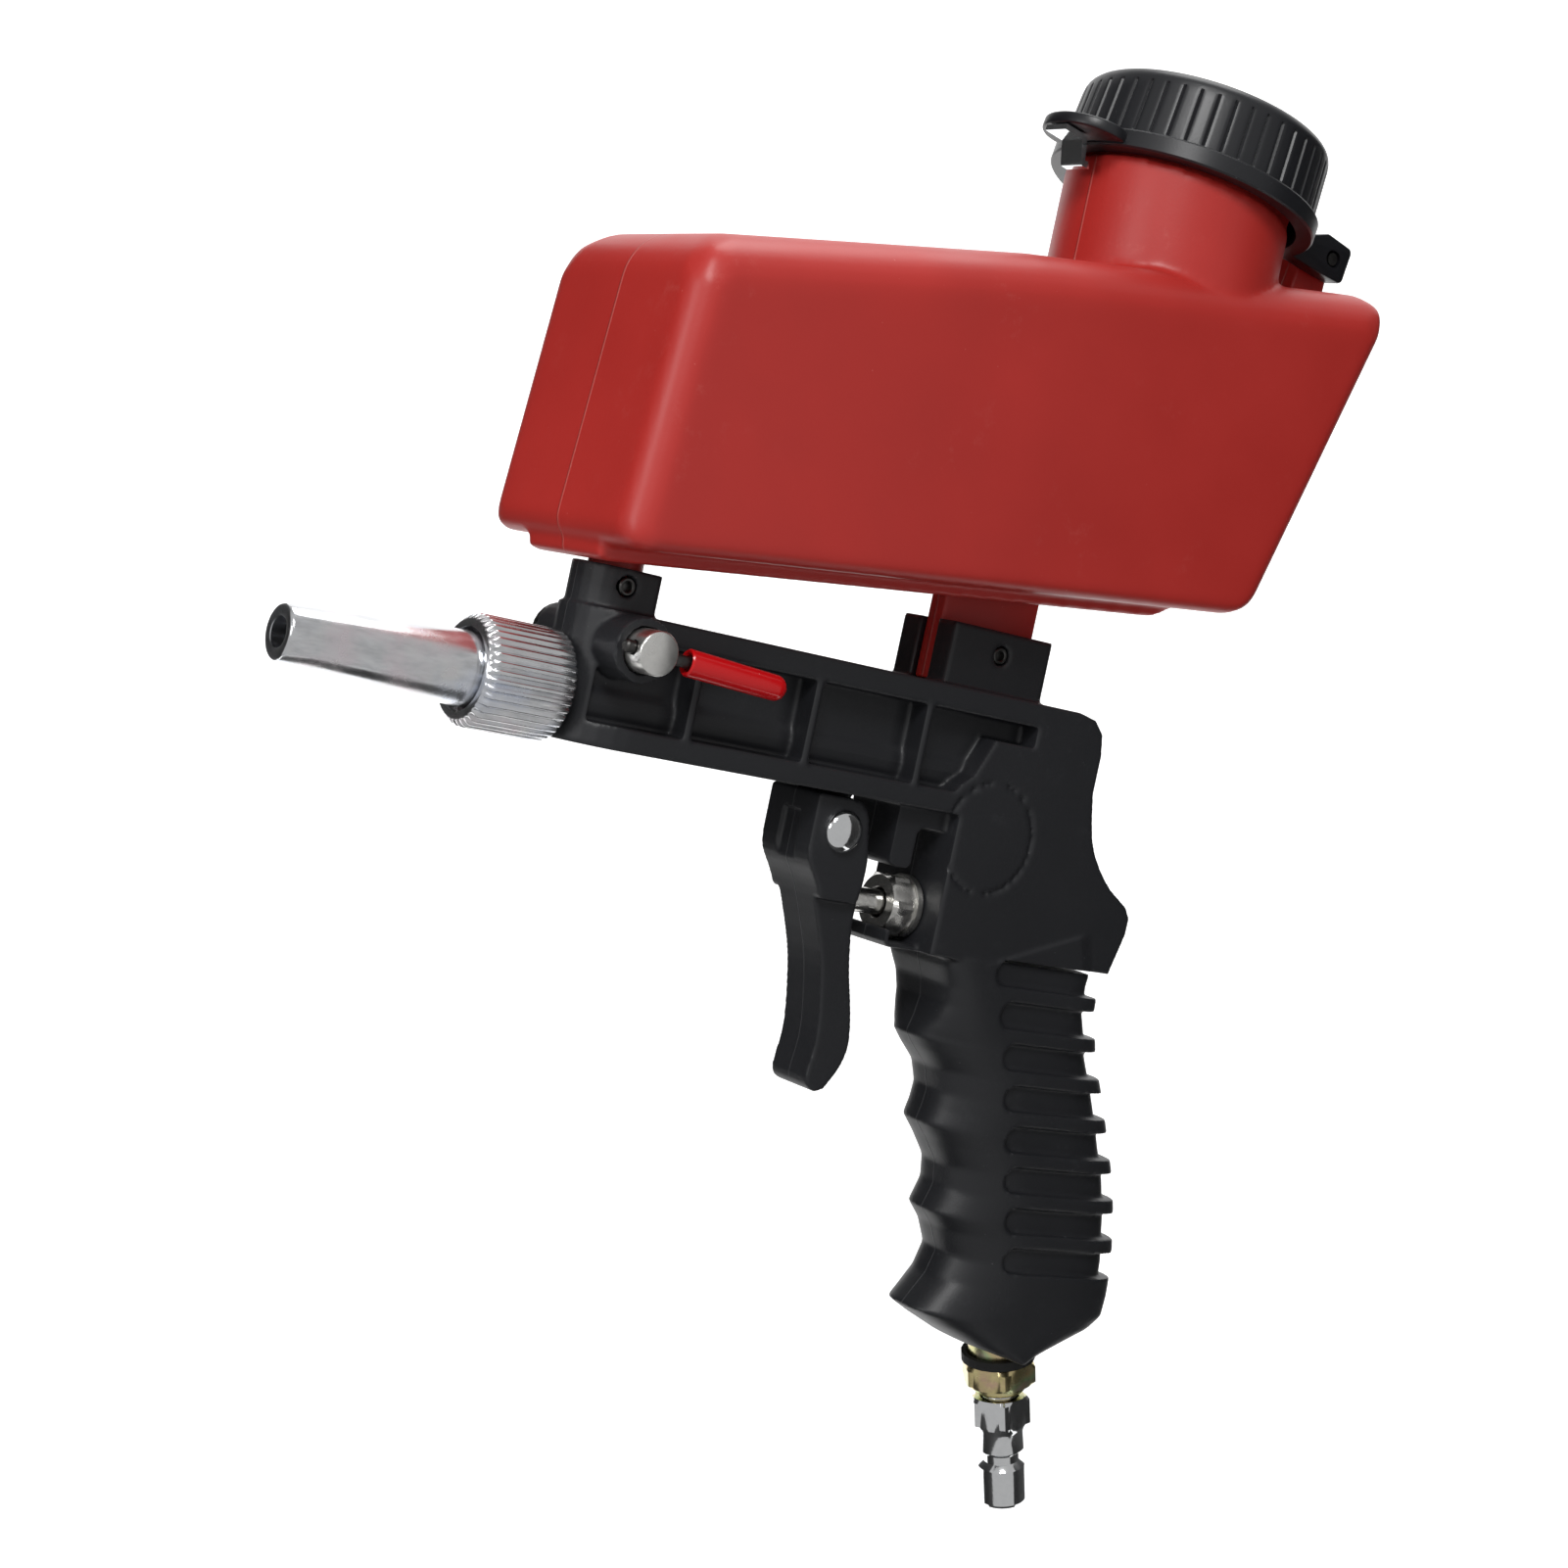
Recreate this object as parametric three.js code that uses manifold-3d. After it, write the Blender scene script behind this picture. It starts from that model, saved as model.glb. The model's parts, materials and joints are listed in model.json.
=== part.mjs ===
import * as THREE from 'three';
import { mergeVertices } from 'three/addons/utils/BufferGeometryUtils.js';
import Module from 'manifold-3d';

// A hand-held sand-blasting gun with a gravity hopper, in millimetres. The barrel's axis is the
// X axis with the nozzle towards -X, +Z is up, and the origin is above the disc on the grip's side.

// Clearance between neighbouring solids
const GAP = 0.3;

// Nozzle and nut, along the barrel
const NOZZLE_TIP_X = -181.7;
const NOZZLE_BACK_X = -131.3;
const NOZZLE_TIP_RADIUS = 5.9;
const NOZZLE_NUT_RADIUS = 8.1;
const NOZZLE_BORE_RADIUS = 3.2;
const NOZZLE_FLANGE_RADIUS = 9;
const NOZZLE_FLANGE_DEPTH = 2.8;
const NUT_FRONT_X = -139;
const NUT_BACK_X = -117.9;
const NUT_RADIUS = 12.1;
const NUT_WALL = 3;
const NUT_BORE_RADIUS = 9.4;
const NUT_TEETH = 38;
const TOOTH_HEIGHT = 0.6;

// Mixing tube, jet and air tube, along the barrel
const WASHER_DEPTH = 1.6;
const THREAD_RADIUS = 9.1;
const THREAD_BACK_X = -118;
const TUBE_RADIUS = 6;
const TUBE_BACK_X = -95;
const TUBE_BORE_RADIUS = 3.6;
const JET_RADIUS = 2.6;
const JET_TIP_X = -103;
const JET_BACK_X = -91.5;
const AIR_TUBE_RADIUS = 3;
const AIR_TUBE_BORE_RADIUS = 2;
const AIR_TUBE_BACK_X = -6;

// Housing of the barrel
const HOUSING_HALF = 13.4;
const HOUSING_TOP = 18.5;
const HOUSING_BOTTOM = -10.5;
const HOUSING_BACK_X = 29.2;
const NOSE_X = -104;
const POCKET_TOP = 13;
const POCKET_BOTTOM = -5.5;
const POCKET_FLOOR = 7;
const RIB_XS = [-89, -57, -25];
const RIB_HALF = 1;
const POCKET_FRONT_X = -113;
const POCKET_BACK_X = 8;
const BULGE_RADIUS = 8;
const BULGE_Z = -1.5;
const DISC_Z = -14.7;
const DISC_RADIUS = 13.1;
const GRIP_LEAN = THREE.MathUtils.degToRad(20);

// Hopper sockets
const FEED_X = -107.5;
const BLOCK_HALF = 9.3;
const BLOCK_TOP = 27.6;
const BLOCK_BACK_X = -101;
const LEG_RADIUS = 6;
const LEG_BORE_RADIUS = 4;
const LEG_BOTTOM = 20.4;
const GASKET_DEPTH = 1.5;
const PORT_RADIUS = 2.3;
const CHEEK_FRONT_X = -20.4;
const CHEEK_BACK_X = 9.6;
const CHEEK_TOP = 33;
const CHEEK_INNER = 3;
const CHEEK_OUTER = 9.9;
const REAR_LEG_HALF = 2.7;
const REAR_LEG_FRONT_X = -19.2;
const REAR_LEG_BACK_X = 9.2;
const SCREW_RADIUS = 2;
const REAR_SCREW = [-5, 27.4];
const FRONT_SCREW = [-109, 23.8];

// Sand valve: a spindle across the barrel
const SPINDLE_Z = 11.4;
const SPINDLE_RADIUS = 4.8;
const SPINDLE_NEAR_Y = -24;
const SPINDLE_FAR_Y = 16.2;
const BOSS_RADIUS = 7.1;
const BOSS_NEAR_Y = -18;
const BOSS_FAR_Y = 16;
const SEAL_Y = 7.5;
const SEAL_HALF = 0.9;
const SEAL_GROOVE_RADIUS = 3.6;
const ROD_RADIUS = 1.35;
const ROD_Y = -20.8;
const ROD_FRONT = -7;
const ROD_BACK = 33;
const SLEEVE_START = 9;
const SLEEVE_END = 35.5;
const SLEEVE_RADIUS = 2.9;
const LEVER_DROP = THREE.MathUtils.degToRad(3.5);

// Recesses on the back of the grip
const GRIP_SLOTS = 8;
const GRIP_SLOT_TOP = -42.2;
const GRIP_SLOT_PITCH = 9.83;
const GRIP_SLOT_HEIGHT = 6.3;
const GRIP_SLOT_FRONT = 11;
const GRIP_SLOT_STEP = 3.3;
const GRIP_CORE_HALF = 12;

// Trigger, about its rivet
const PIVOT = [-39.8, -19];
const TRIGGER_HALF = 9.5;
const BLADE_HALF = 7;
const LUG_HALF = 3.7;
const LUG_RADIUS = 5.4;
const SLOT_RADIUS = 6;
const RIVET_RADIUS = 2.4;
const DOME_RADIUS = 5;
const DOME_HEIGHT = 2.6;

// Air valve, along X below the barrel
const VALVE_Z = -34.5;
const VALVE_BORE_RADIUS = 6.3;
const VALVE_BORE_BACK_X = 24;
const STEM_TIP_X = -28.6;
const STEM_RADIUS = 3;
const STEM_THIN_RADIUS = 1.8;
const STEM_BACK_X = 5;
const GLAND_ACROSS_FLATS = 13.4;
const GLAND_HEX = [-18.4, -12];
const SEAT_X = 2;
const PASSAGE_X = -2.5;
const PASSAGE_RADIUS = 2.4;
const SPRING_COILS = 6;
const SPRING_WIRE = 0.5;
const SPRING_RADIUS = 3.6;
const SPRING_SPAN = [10, 22.5];

// Air inlet, along a tilted axis below the grip
const INLET = [50.3, -143];
const INLET_TILT = THREE.MathUtils.degToRad(17.5);
const GRIP_BORE_RADIUS = 4.6;
const GRIP_TUBE_RADIUS = 4.2;
const GRIP_TUBE_LENGTH = 83;
const ADAPTER_ACROSS_FLATS = 17;
const ADAPTER_SHANK_RADIUS = 7.6;
const PLUG_ACROSS_FLATS = 14;
const PLUG_RADIUS = 5.9;
const PLUG_END = -37.4;

// Hopper
const HOPPER_HALF = 30;
const HOPPER_EDGE = 4;
const HOPPER_WALL = 2.4;
const NECK_X = 27;
const NECK_RADIUS = 27.6;
const NECK_BORE_RADIUS = 23.5;
const HINGE = [74, 141.7];
const HINGE_RADIUS = 5;
const HINGE_PIN_RADIUS = 1.6;
const HINGE_LUG_HALF = 3.4;

// Lid, about the centre of its flange's underside
const LID = [28.3, 143.5];
const LID_TILT = THREE.MathUtils.degToRad(9);
const FLANGE_RADIUS = 34;
const FLANGE_HEIGHT = 4.5;
const LID_RADIUS = 31.4;
const LID_RIBS = 36;
const RIB_DEPTH = 1;
const LID_RIB_TOP = 17.5;
const LID_TOP = 23.5;
const LID_BORE_RADIUS = 28.8;
const LID_ROOF = 14;
const RIM_RADIUS = 26;
const RIM_TOP = 12;

// Fineness
const ROUND_SIDES = 24;
const ARC_STEPS = 3;
const EDGE_STEPS = 3;
const MERGE_DISTANCE = 1e-4;
const BEYOND = 2;

const wasm = await Module();
wasm.setup();

function signedVolume(positions, corners) {
  const [a, b, c] = [new THREE.Vector3(), new THREE.Vector3(), new THREE.Vector3()];
  let volume = 0;
  for (let i = 0; i < corners.length; i += 3) {
    a.fromArray(positions, 3 * corners[i]);
    b.fromArray(positions, 3 * corners[i + 1]);
    c.fromArray(positions, 3 * corners[i + 2]);
    volume += a.dot(b.cross(c));
  }
  return volume;
}

/** A solid from a closed three.js geometry, moved to `at` and facing out. */
function solid(geometry, at = [0, 0, 0]) {
  geometry.translate(...at);
  geometry.deleteAttribute('normal');
  geometry.deleteAttribute('uv');
  const merged = mergeVertices(geometry, MERGE_DISTANCE);
  const positions = merged.getAttribute('position').array;
  const all = merged.index.array;
  const corners = [];
  for (let i = 0; i < all.length; i += 3) {
    const [a, b, c] = [all[i], all[i + 1], all[i + 2]];
    if (a !== b && b !== c && c !== a) corners.push(a, b, c);
  }
  if (signedVolume(positions, corners) < 0) corners.reverse();
  const mesh = new wasm.Mesh({
    numProp: 3,
    vertProperties: new Float32Array(positions),
    triVerts: new Uint32Array(corners),
  });
  return new wasm.Manifold(mesh);
}

function toGeometry(body) {
  const mesh = body.getMesh();
  const geometry = new THREE.BufferGeometry();
  geometry.setAttribute('position', new THREE.BufferAttribute(mesh.vertProperties, 3));
  geometry.setIndex(new THREE.BufferAttribute(mesh.triVerts, 1));
  geometry.computeVertexNormals();
  return geometry;
}

function union(bodies) {
  return bodies.reduce((whole, body) => whole.add(body));
}

/** Turned about an axis, from a profile of [distance along it, radius]. */
function turned(axis, profile, at = [0, 0, 0], sides = ROUND_SIDES) {
  const points = profile.map(([along, radius]) => new THREE.Vector2(radius, along));
  const geometry = new THREE.LatheGeometry(points, sides);
  if (axis === 'x') geometry.rotateZ(-Math.PI / 2);
  if (axis === 'z') geometry.rotateX(Math.PI / 2);
  return solid(geometry, at);
}

function rod(axis, radius, from, to, at, sides) {
  return turned(axis, [[from, 0], [from, radius], [to, radius], [to, 0]], at, sides);
}

function ring(axis, outer, inner, from, to, at, sides) {
  const profile = [[from, inner], [from, outer], [to, outer], [to, inner], [from, inner]];
  return turned(axis, profile, at, sides);
}

function box([x0, x1], [y0, y1], [z0, z1]) {
  const geometry = new THREE.BoxGeometry(x1 - x0, y1 - y0, z1 - z0);
  return solid(geometry, [(x0 + x1) / 2, (y0 + y1) / 2, (z0 + z1) / 2]);
}

/** An outline through [x, z, corner radius] points, each corner rounded by its radius. */
function rounded(points) {
  const outline = new THREE.Shape();
  points.forEach(([x, z, radius = 0], i) => {
    const corner = new THREE.Vector2(x, z);
    const before = new THREE.Vector2(...points[(i + points.length - 1) % points.length]);
    const after = new THREE.Vector2(...points[(i + 1) % points.length]);
    const start = corner.clone().add(before.sub(corner).setLength(radius));
    const end = corner.clone().add(after.sub(corner).setLength(radius));
    if (i === 0) outline.moveTo(start.x, start.y);
    else outline.lineTo(start.x, start.y);
    if (radius > 0) outline.quadraticCurveTo(corner.x, corner.y, end.x, end.y);
  });
  outline.closePath();
  return outline;
}

/** The same convex corners, each moved in by `depth`. */
function inset(points, depth) {
  return points.map(([x, z, radius], i) => {
    const corner = new THREE.Vector2(x, z);
    const before = new THREE.Vector2(...points[(i + points.length - 1) % points.length]);
    const after = new THREE.Vector2(...points[(i + 1) % points.length]);
    const back = before.sub(corner).normalize();
    const ahead = after.sub(corner).normalize();
    const half = Math.acos(THREE.MathUtils.clamp(back.dot(ahead), -1, 1)) / 2;
    const inward = back.add(ahead).setLength(depth / Math.sin(half));
    return [x + inward.x, z + inward.y, Math.max(radius - depth, 1)];
  });
}

/** A side outline in X and Z, thick in Y, with its edges rounded by `edge`. */
function plate(outline, yNear, yFar, edge = 0) {
  const geometry = new THREE.ExtrudeGeometry(outline, {
    depth: yFar - yNear - 2 * edge,
    bevelEnabled: edge > 0,
    bevelThickness: edge,
    bevelSize: edge,
    bevelOffset: -edge,
    bevelSegments: EDGE_STEPS,
    curveSegments: ARC_STEPS,
  });
  geometry.rotateX(Math.PI / 2);
  return solid(geometry, [0, yFar - edge, 0]);
}

/** An outline in X and Y, tall in Z. */
function prism(outline, zLow, zHigh) {
  const options = { depth: zHigh - zLow, bevelEnabled: false, curveSegments: ARC_STEPS };
  return solid(new THREE.ExtrudeGeometry(outline, options), [0, 0, zLow]);
}

function hexagon(axis, acrossFlats, from, to) {
  const radius = acrossFlats / Math.sqrt(3);
  const geometry = new THREE.CylinderGeometry(radius, radius, to - from, 6);
  geometry.translate(0, (from + to) / 2, 0);
  if (axis === 'x') geometry.rotateZ(-Math.PI / 2);
  if (axis === 'z') geometry.rotateX(Math.PI / 2);
  return solid(geometry);
}

// ---- Body ----

function gripOutline() {
  const outline = new THREE.Shape();
  outline.moveTo(-10, HOUSING_BOTTOM + 6);
  outline.lineTo(-10, -43.6);
  outline.lineTo(-3.4, -43.8);
  const front = [[0.4, -54.8], [-1.4, -63.7], [6, -70.4], [8.4, -76.3], [7.2, -84.4], [14.8, -92.6],
    [17, -99], [14.7, -105.5], [21.4, -113.5]];
  outline.splineThru(front.map((point) => new THREE.Vector2(...point)));
  outline.lineTo(21.4, -118);
  outline.lineTo(14.8, -129.5);
  outline.lineTo(31.9, -137);
  outline.lineTo(46.5, -139.8);
  outline.lineTo(60.1, -134.6);
  outline.lineTo(73.9, -127.8);
  const back = [[73.1, -113.5], [67.6, -93.2], [58.1, -73], [46.6, -52.4], [46.5, -42.3],
    [49.4, -27.8], [40.3, -20.8], [32.8, -12], [29.1, 0.8]];
  outline.splineThru(back.map((point) => new THREE.Vector2(...point)));
  outline.lineTo(29.2, 8);
  outline.lineTo(-4, 8);
  outline.closePath();
  return outline;
}

function housing() {
  const side = rounded([
    [NOSE_X, HOUSING_BOTTOM], [HOUSING_BACK_X, HOUSING_BOTTOM],
    [HOUSING_BACK_X, HOUSING_TOP, 9], [NOSE_X, HOUSING_TOP],
  ]);
  return union([
    plate(side, -HOUSING_HALF, HOUSING_HALF),
    rod('z', HOUSING_HALF, HOUSING_BOTTOM, HOUSING_TOP, [NOSE_X, 0, 0]),
  ]);
}

function pockets() {
  const starts = [POCKET_FRONT_X, ...RIB_XS.map((x) => x + RIB_HALF)];
  const ends = [...RIB_XS.map((x) => x - RIB_HALF), POCKET_BACK_X];
  const cut = [];
  for (const side of [-1, 1]) {
    const near = side * (HOUSING_HALF + BEYOND);
    const floor = side * POCKET_FLOOR;
    starts.forEach((start, i) => {
      const span = [Math.min(near, floor), Math.max(near, floor)];
      cut.push(box([start, ends[i]], span, [POCKET_BOTTOM, POCKET_TOP]));
    });
  }
  const bulge = rod('x', BULGE_RADIUS, POCKET_FRONT_X - 1, POCKET_BACK_X + 1, [0, 0, BULGE_Z], 24);
  const disc = rod('y', DISC_RADIUS + 3, -20, 20, [0, 0, DISC_Z]);
  return union(cut).subtract(bulge).subtract(disc);
}

function frontSocket() {
  return union([
    rod('z', BLOCK_HALF, HOUSING_TOP - 1, BLOCK_TOP, [FEED_X, 0, 0]),
    box([FEED_X, BLOCK_BACK_X], [-BLOCK_HALF, BLOCK_HALF], [HOUSING_TOP - 1, BLOCK_TOP]),
    rod('y', BOSS_RADIUS, BOSS_NEAR_Y, BOSS_FAR_Y, [FEED_X, 0, SPINDLE_Z]),
  ]);
}

function rearSocket() {
  return [-1, 1].map((side) => {
    const ys = [side * CHEEK_INNER, side * CHEEK_OUTER].sort((a, b) => a - b);
    return box([CHEEK_FRONT_X, CHEEK_BACK_X], ys, [HOUSING_TOP - 1, CHEEK_TOP]);
  });
}

function valveFront() {
  const block = rounded([
    [-24.5, HOUSING_BOTTOM + 1], [-24.5, -25, 2], [-18, -25, 1], [-18, -15, 3], [-9, -15],
    [-9, HOUSING_BOTTOM + 1],
  ]);
  const shelf = rounded([[-9, -42.6], [-9, -43.8], [-18.4, -43.8], [-20, -42.6], [-20, -39.6, 0.5],
    [-18.8, -39.6, 0.5], [-18.8, -42.6]]);
  return [plate(block, -9, 9), plate(shelf, -8, 8)];
}

function triggerLug() {
  const [x, z] = PIVOT;
  return [
    rod('y', LUG_RADIUS, -LUG_HALF, LUG_HALF, [x, 0, z]),
    box([x - 5.2, x + 5.2], [-LUG_HALF, LUG_HALF], [z, HOUSING_BOTTOM + 1]),
  ];
}

/** The inlet's axis meets the valve's bore; this places a solid turned about Z on it. */
function alongInlet(geometry) {
  geometry.rotateX(Math.PI / 2);
  geometry.rotateY(-INLET_TILT);
  return solid(geometry, [INLET[0], 0, INLET[1]]);
}

function inletBore(radius, from, to) {
  const points = [[from, 0], [from, radius], [to, radius], [to, 0]];
  const profile = points.map(([along, r]) => new THREE.Vector2(r, along));
  return alongInlet(new THREE.LatheGeometry(profile, 24));
}

function bodyBores() {
  const [pivotX, pivotZ] = PIVOT;
  const legBottom = LEG_BOTTOM - GAP;
  return union([
    rod('x', TUBE_RADIUS + GAP, THREAD_BACK_X - BEYOND, JET_BACK_X + GAP),
    rod('x', AIR_TUBE_RADIUS + GAP, JET_BACK_X, AIR_TUBE_BACK_X + GAP, undefined, 20),
    rod('z', PASSAGE_RADIUS, VALVE_Z, AIR_TUBE_RADIUS, [PASSAGE_X, 0, 0], 16),
    box([AIR_TUBE_BACK_X, PASSAGE_X], [-AIR_TUBE_BORE_RADIUS, AIR_TUBE_BORE_RADIUS],
      [-AIR_TUBE_BORE_RADIUS, AIR_TUBE_BORE_RADIUS]),
    rod('x', VALVE_BORE_RADIUS, -9 - BEYOND, VALVE_BORE_BACK_X, [0, 0, VALVE_Z]),
    rod('z', LEG_RADIUS + GAP, legBottom - GASKET_DEPTH - GAP, BLOCK_TOP + BEYOND, [FEED_X, 0, 0]),
    rod('z', PORT_RADIUS, 0, LEG_BOTTOM, [FEED_X, 0, 0], 16),
    rod('y', SPINDLE_RADIUS + GAP, BOSS_NEAR_Y - BEYOND, BOSS_FAR_Y + BEYOND,
      [FEED_X, 0, SPINDLE_Z]),
    rod('y', RIVET_RADIUS + GAP, -2 * LUG_HALF, 2 * LUG_HALF, [pivotX, 0, pivotZ], 20),
    rod('y', SCREW_RADIUS + GAP, -2 * CHEEK_OUTER, 2 * CHEEK_OUTER,
      [REAR_SCREW[0], 0, REAR_SCREW[1]], 20),
    rod('y', SCREW_RADIUS + GAP, -2 * BLOCK_HALF, -LEG_RADIUS, [FRONT_SCREW[0], 0, FRONT_SCREW[1]],
      20),
    inletBore(GRIP_BORE_RADIUS, -5, -(INLET[1] - VALVE_Z) / Math.cos(INLET_TILT)),
    inletBore(ADAPTER_SHANK_RADIUS + GAP, -5, 20),
  ]);
}

/** Rounds the grip in plan, below the palm. */
function gripEnvelope() {
  const plan = rounded([[-27, -14, 9], [27, -14, 9], [27, 14, 9], [-27, 14, 9]]);
  const options = { depth: 130, bevelEnabled: false, curveSegments: ARC_STEPS };
  const column = new THREE.ExtrudeGeometry(plan, options);
  column.translate(0, 0, -75);
  column.rotateY(-GRIP_LEAN);
  return union([
    solid(column, [36.5, 0, -92]),
    box([-12, 60], [-HOUSING_HALF, HOUSING_HALF], [-46, 10]),
  ]);
}

/** Slots between the ribs at the back of the grip. */
/** Level recesses between the ribs that run round the back of the grip. */
function gripSlots() {
  const slots = [];
  for (let k = 0; k < GRIP_SLOTS; k += 1) {
    const front = GRIP_SLOT_FRONT + k * GRIP_SLOT_STEP;
    const top = GRIP_SLOT_TOP - k * GRIP_SLOT_PITCH;
    const bottom = top - GRIP_SLOT_HEIGHT;
    const outline = rounded([[front, bottom, 3], [front + 60, bottom], [front + 60, top],
      [front, top, 3]]);
    slots.push(plate(outline, -20, 20));
  }
  const core = plate(rounded([[0, -30], [40, -30], [43.3, -49.5, 2], [57.3, -76.6, 8],
    [70.8, -118.3, 8], [70.8, -135], [0, -135]]), -GRIP_CORE_HALF, GRIP_CORE_HALF, 2);
  return union(slots).subtract(core);
}

function gunBody() {
  return union([
    housing().subtract(pockets()),
    plate(gripOutline(), -14, 14).intersect(gripEnvelope()).subtract(gripSlots()),
    frontSocket(),
    ...rearSocket(),
    ...valveFront(),
    ...triggerLug(),
  ]).subtract(bodyBores());
}

// ---- Barrel ----

function nozzle() {
  return turned('x', [
    [NOZZLE_TIP_X, NOZZLE_BORE_RADIUS], [NOZZLE_TIP_X, NOZZLE_TIP_RADIUS - 0.7],
    [NOZZLE_TIP_X + 0.7, NOZZLE_TIP_RADIUS], [NUT_FRONT_X, NOZZLE_NUT_RADIUS],
    [NOZZLE_BACK_X - NOZZLE_FLANGE_DEPTH, NOZZLE_NUT_RADIUS],
    [NOZZLE_BACK_X - NOZZLE_FLANGE_DEPTH, NOZZLE_FLANGE_RADIUS],
    [NOZZLE_BACK_X, NOZZLE_FLANGE_RADIUS], [NOZZLE_BACK_X, NOZZLE_BORE_RADIUS + 1],
    [NOZZLE_TIP_X, NOZZLE_BORE_RADIUS],
  ]);
}

function toothedOutline(teeth, outer, depth) {
  const outline = new THREE.Shape();
  for (let i = 0; i < teeth; i += 1) {
    for (const [step, radius] of [[0, outer - depth], [0.25, outer], [0.5, outer], [0.75, outer - depth]]) {
      const angle = (2 * Math.PI * (i + step)) / teeth;
      const [u, v] = [radius * Math.cos(angle), radius * Math.sin(angle)];
      if (i + step === 0) outline.moveTo(u, v);
      else outline.lineTo(u, v);
    }
  }
  outline.closePath();
  return outline;
}

function nozzleNut() {
  const options = { depth: NUT_BACK_X - NUT_FRONT_X, bevelEnabled: false };
  const teeth = new THREE.ExtrudeGeometry(toothedOutline(NUT_TEETH, NUT_RADIUS, TOOTH_HEIGHT), options);
  teeth.rotateY(Math.PI / 2);
  const chamfered = turned('x', [
    [NUT_FRONT_X, 0], [NUT_FRONT_X, NUT_RADIUS - 1.6], [NUT_FRONT_X + 1.6, NUT_RADIUS + 1],
    [NUT_BACK_X, NUT_RADIUS + 1], [NUT_BACK_X, 0],
  ]);
  const mouth = NOZZLE_NUT_RADIUS + 2 * GAP;
  return solid(teeth, [NUT_FRONT_X, 0, 0])
    .intersect(chamfered)
    .subtract(rod('x', mouth, NUT_FRONT_X - BEYOND, NUT_BACK_X + BEYOND))
    .subtract(rod('x', NUT_BORE_RADIUS, NUT_FRONT_X + NUT_WALL, NUT_BACK_X + BEYOND));
}

function nozzleWasher() {
  const front = NOZZLE_BACK_X + GAP;
  return ring('x', NOZZLE_FLANGE_RADIUS, TUBE_BORE_RADIUS + 1, front, front + WASHER_DEPTH);
}

function barrelTube() {
  const front = NOZZLE_BACK_X + WASHER_DEPTH + 2 * GAP;
  const tube = turned('x', [
    [front, TUBE_BORE_RADIUS], [front, THREAD_RADIUS], [THREAD_BACK_X, THREAD_RADIUS],
    [THREAD_BACK_X, TUBE_RADIUS], [TUBE_BACK_X, TUBE_RADIUS], [TUBE_BACK_X, TUBE_BORE_RADIUS],
    [front, TUBE_BORE_RADIUS],
  ]);
  return tube.subtract(rod('z', PORT_RADIUS, 0, TUBE_RADIUS + BEYOND, [FEED_X, 0, 0], 16));
}

function airJet() {
  const flange = TUBE_BACK_X + GAP;
  const bore = 1;
  return turned('x', [
    [JET_TIP_X, bore], [JET_TIP_X, JET_RADIUS - 1], [JET_TIP_X + 2, JET_RADIUS],
    [flange, JET_RADIUS], [flange, TUBE_RADIUS], [JET_BACK_X, TUBE_RADIUS], [JET_BACK_X, bore],
    [JET_TIP_X, bore],
  ], undefined, 20);
}

function barrelAirTube() {
  const front = JET_BACK_X + 2 * GAP;
  return ring('x', AIR_TUBE_RADIUS, AIR_TUBE_BORE_RADIUS, front, AIR_TUBE_BACK_X, undefined, 16);
}

// ---- Sand valve, about the spindle's axis ----

function valveSpindle() {
  const grooves = [-SEAL_Y, SEAL_Y].map((y) => ring(
    'y', SPINDLE_RADIUS + 1, SEAL_GROOVE_RADIUS, y - SEAL_HALF, y + SEAL_HALF,
  ));
  const edge = 0.6;
  const shaft = turned('y', [
    [SPINDLE_NEAR_Y, 0], [SPINDLE_NEAR_Y, SPINDLE_RADIUS - edge],
    [SPINDLE_NEAR_Y + edge, SPINDLE_RADIUS], [SPINDLE_FAR_Y, SPINDLE_RADIUS], [SPINDLE_FAR_Y, 0],
  ]);
  return shaft
    .subtract(union(grooves))
    .subtract(rod('z', PORT_RADIUS, -9, 9, undefined, 16))
    .subtract(rod('x', ROD_RADIUS + GAP, -9, 9, [0, ROD_Y, 0], 16))
    .subtract(rod('y', SCREW_RADIUS, 10, SPINDLE_FAR_Y + 1, undefined, 16));
}

function spindleSeal(y) {
  const depth = SEAL_HALF - 0.2;
  return ring('y', SPINDLE_RADIUS + 0.15, SEAL_GROOVE_RADIUS + 0.25, y - depth, y + depth);
}

function spindleWasher() {
  return ring('y', 6.6, SCREW_RADIUS + GAP, SPINDLE_FAR_Y + GAP, SPINDLE_FAR_Y + 1.5);
}

function spindleScrew() {
  const head = SPINDLE_FAR_Y + 1.5 + GAP;
  return turned('y', [
    [11, 0], [11, SCREW_RADIUS - GAP], [head, SCREW_RADIUS - GAP], [head, 3.6], [head + 1.2, 3.4],
    [head + 2, 2], [head + 2, 0],
  ], undefined, 20);
}

function leverRod() {
  return rod('x', ROD_RADIUS, ROD_FRONT, ROD_BACK, undefined, 16);
}

function leverSleeve() {
  const tip = SLEEVE_END - 2;
  const dipped = turned('x', [
    [SLEEVE_START, 0], [SLEEVE_START, SLEEVE_RADIUS - 0.4], [SLEEVE_START + 1, SLEEVE_RADIUS],
    [tip, SLEEVE_RADIUS], [tip + 1.5, SLEEVE_RADIUS - 1], [SLEEVE_END, 0],
  ], undefined, 20);
  return dipped.subtract(rod('x', ROD_RADIUS + GAP, SLEEVE_START - 1, ROD_BACK + GAP));
}

// ---- Trigger, about its rivet ----

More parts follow.
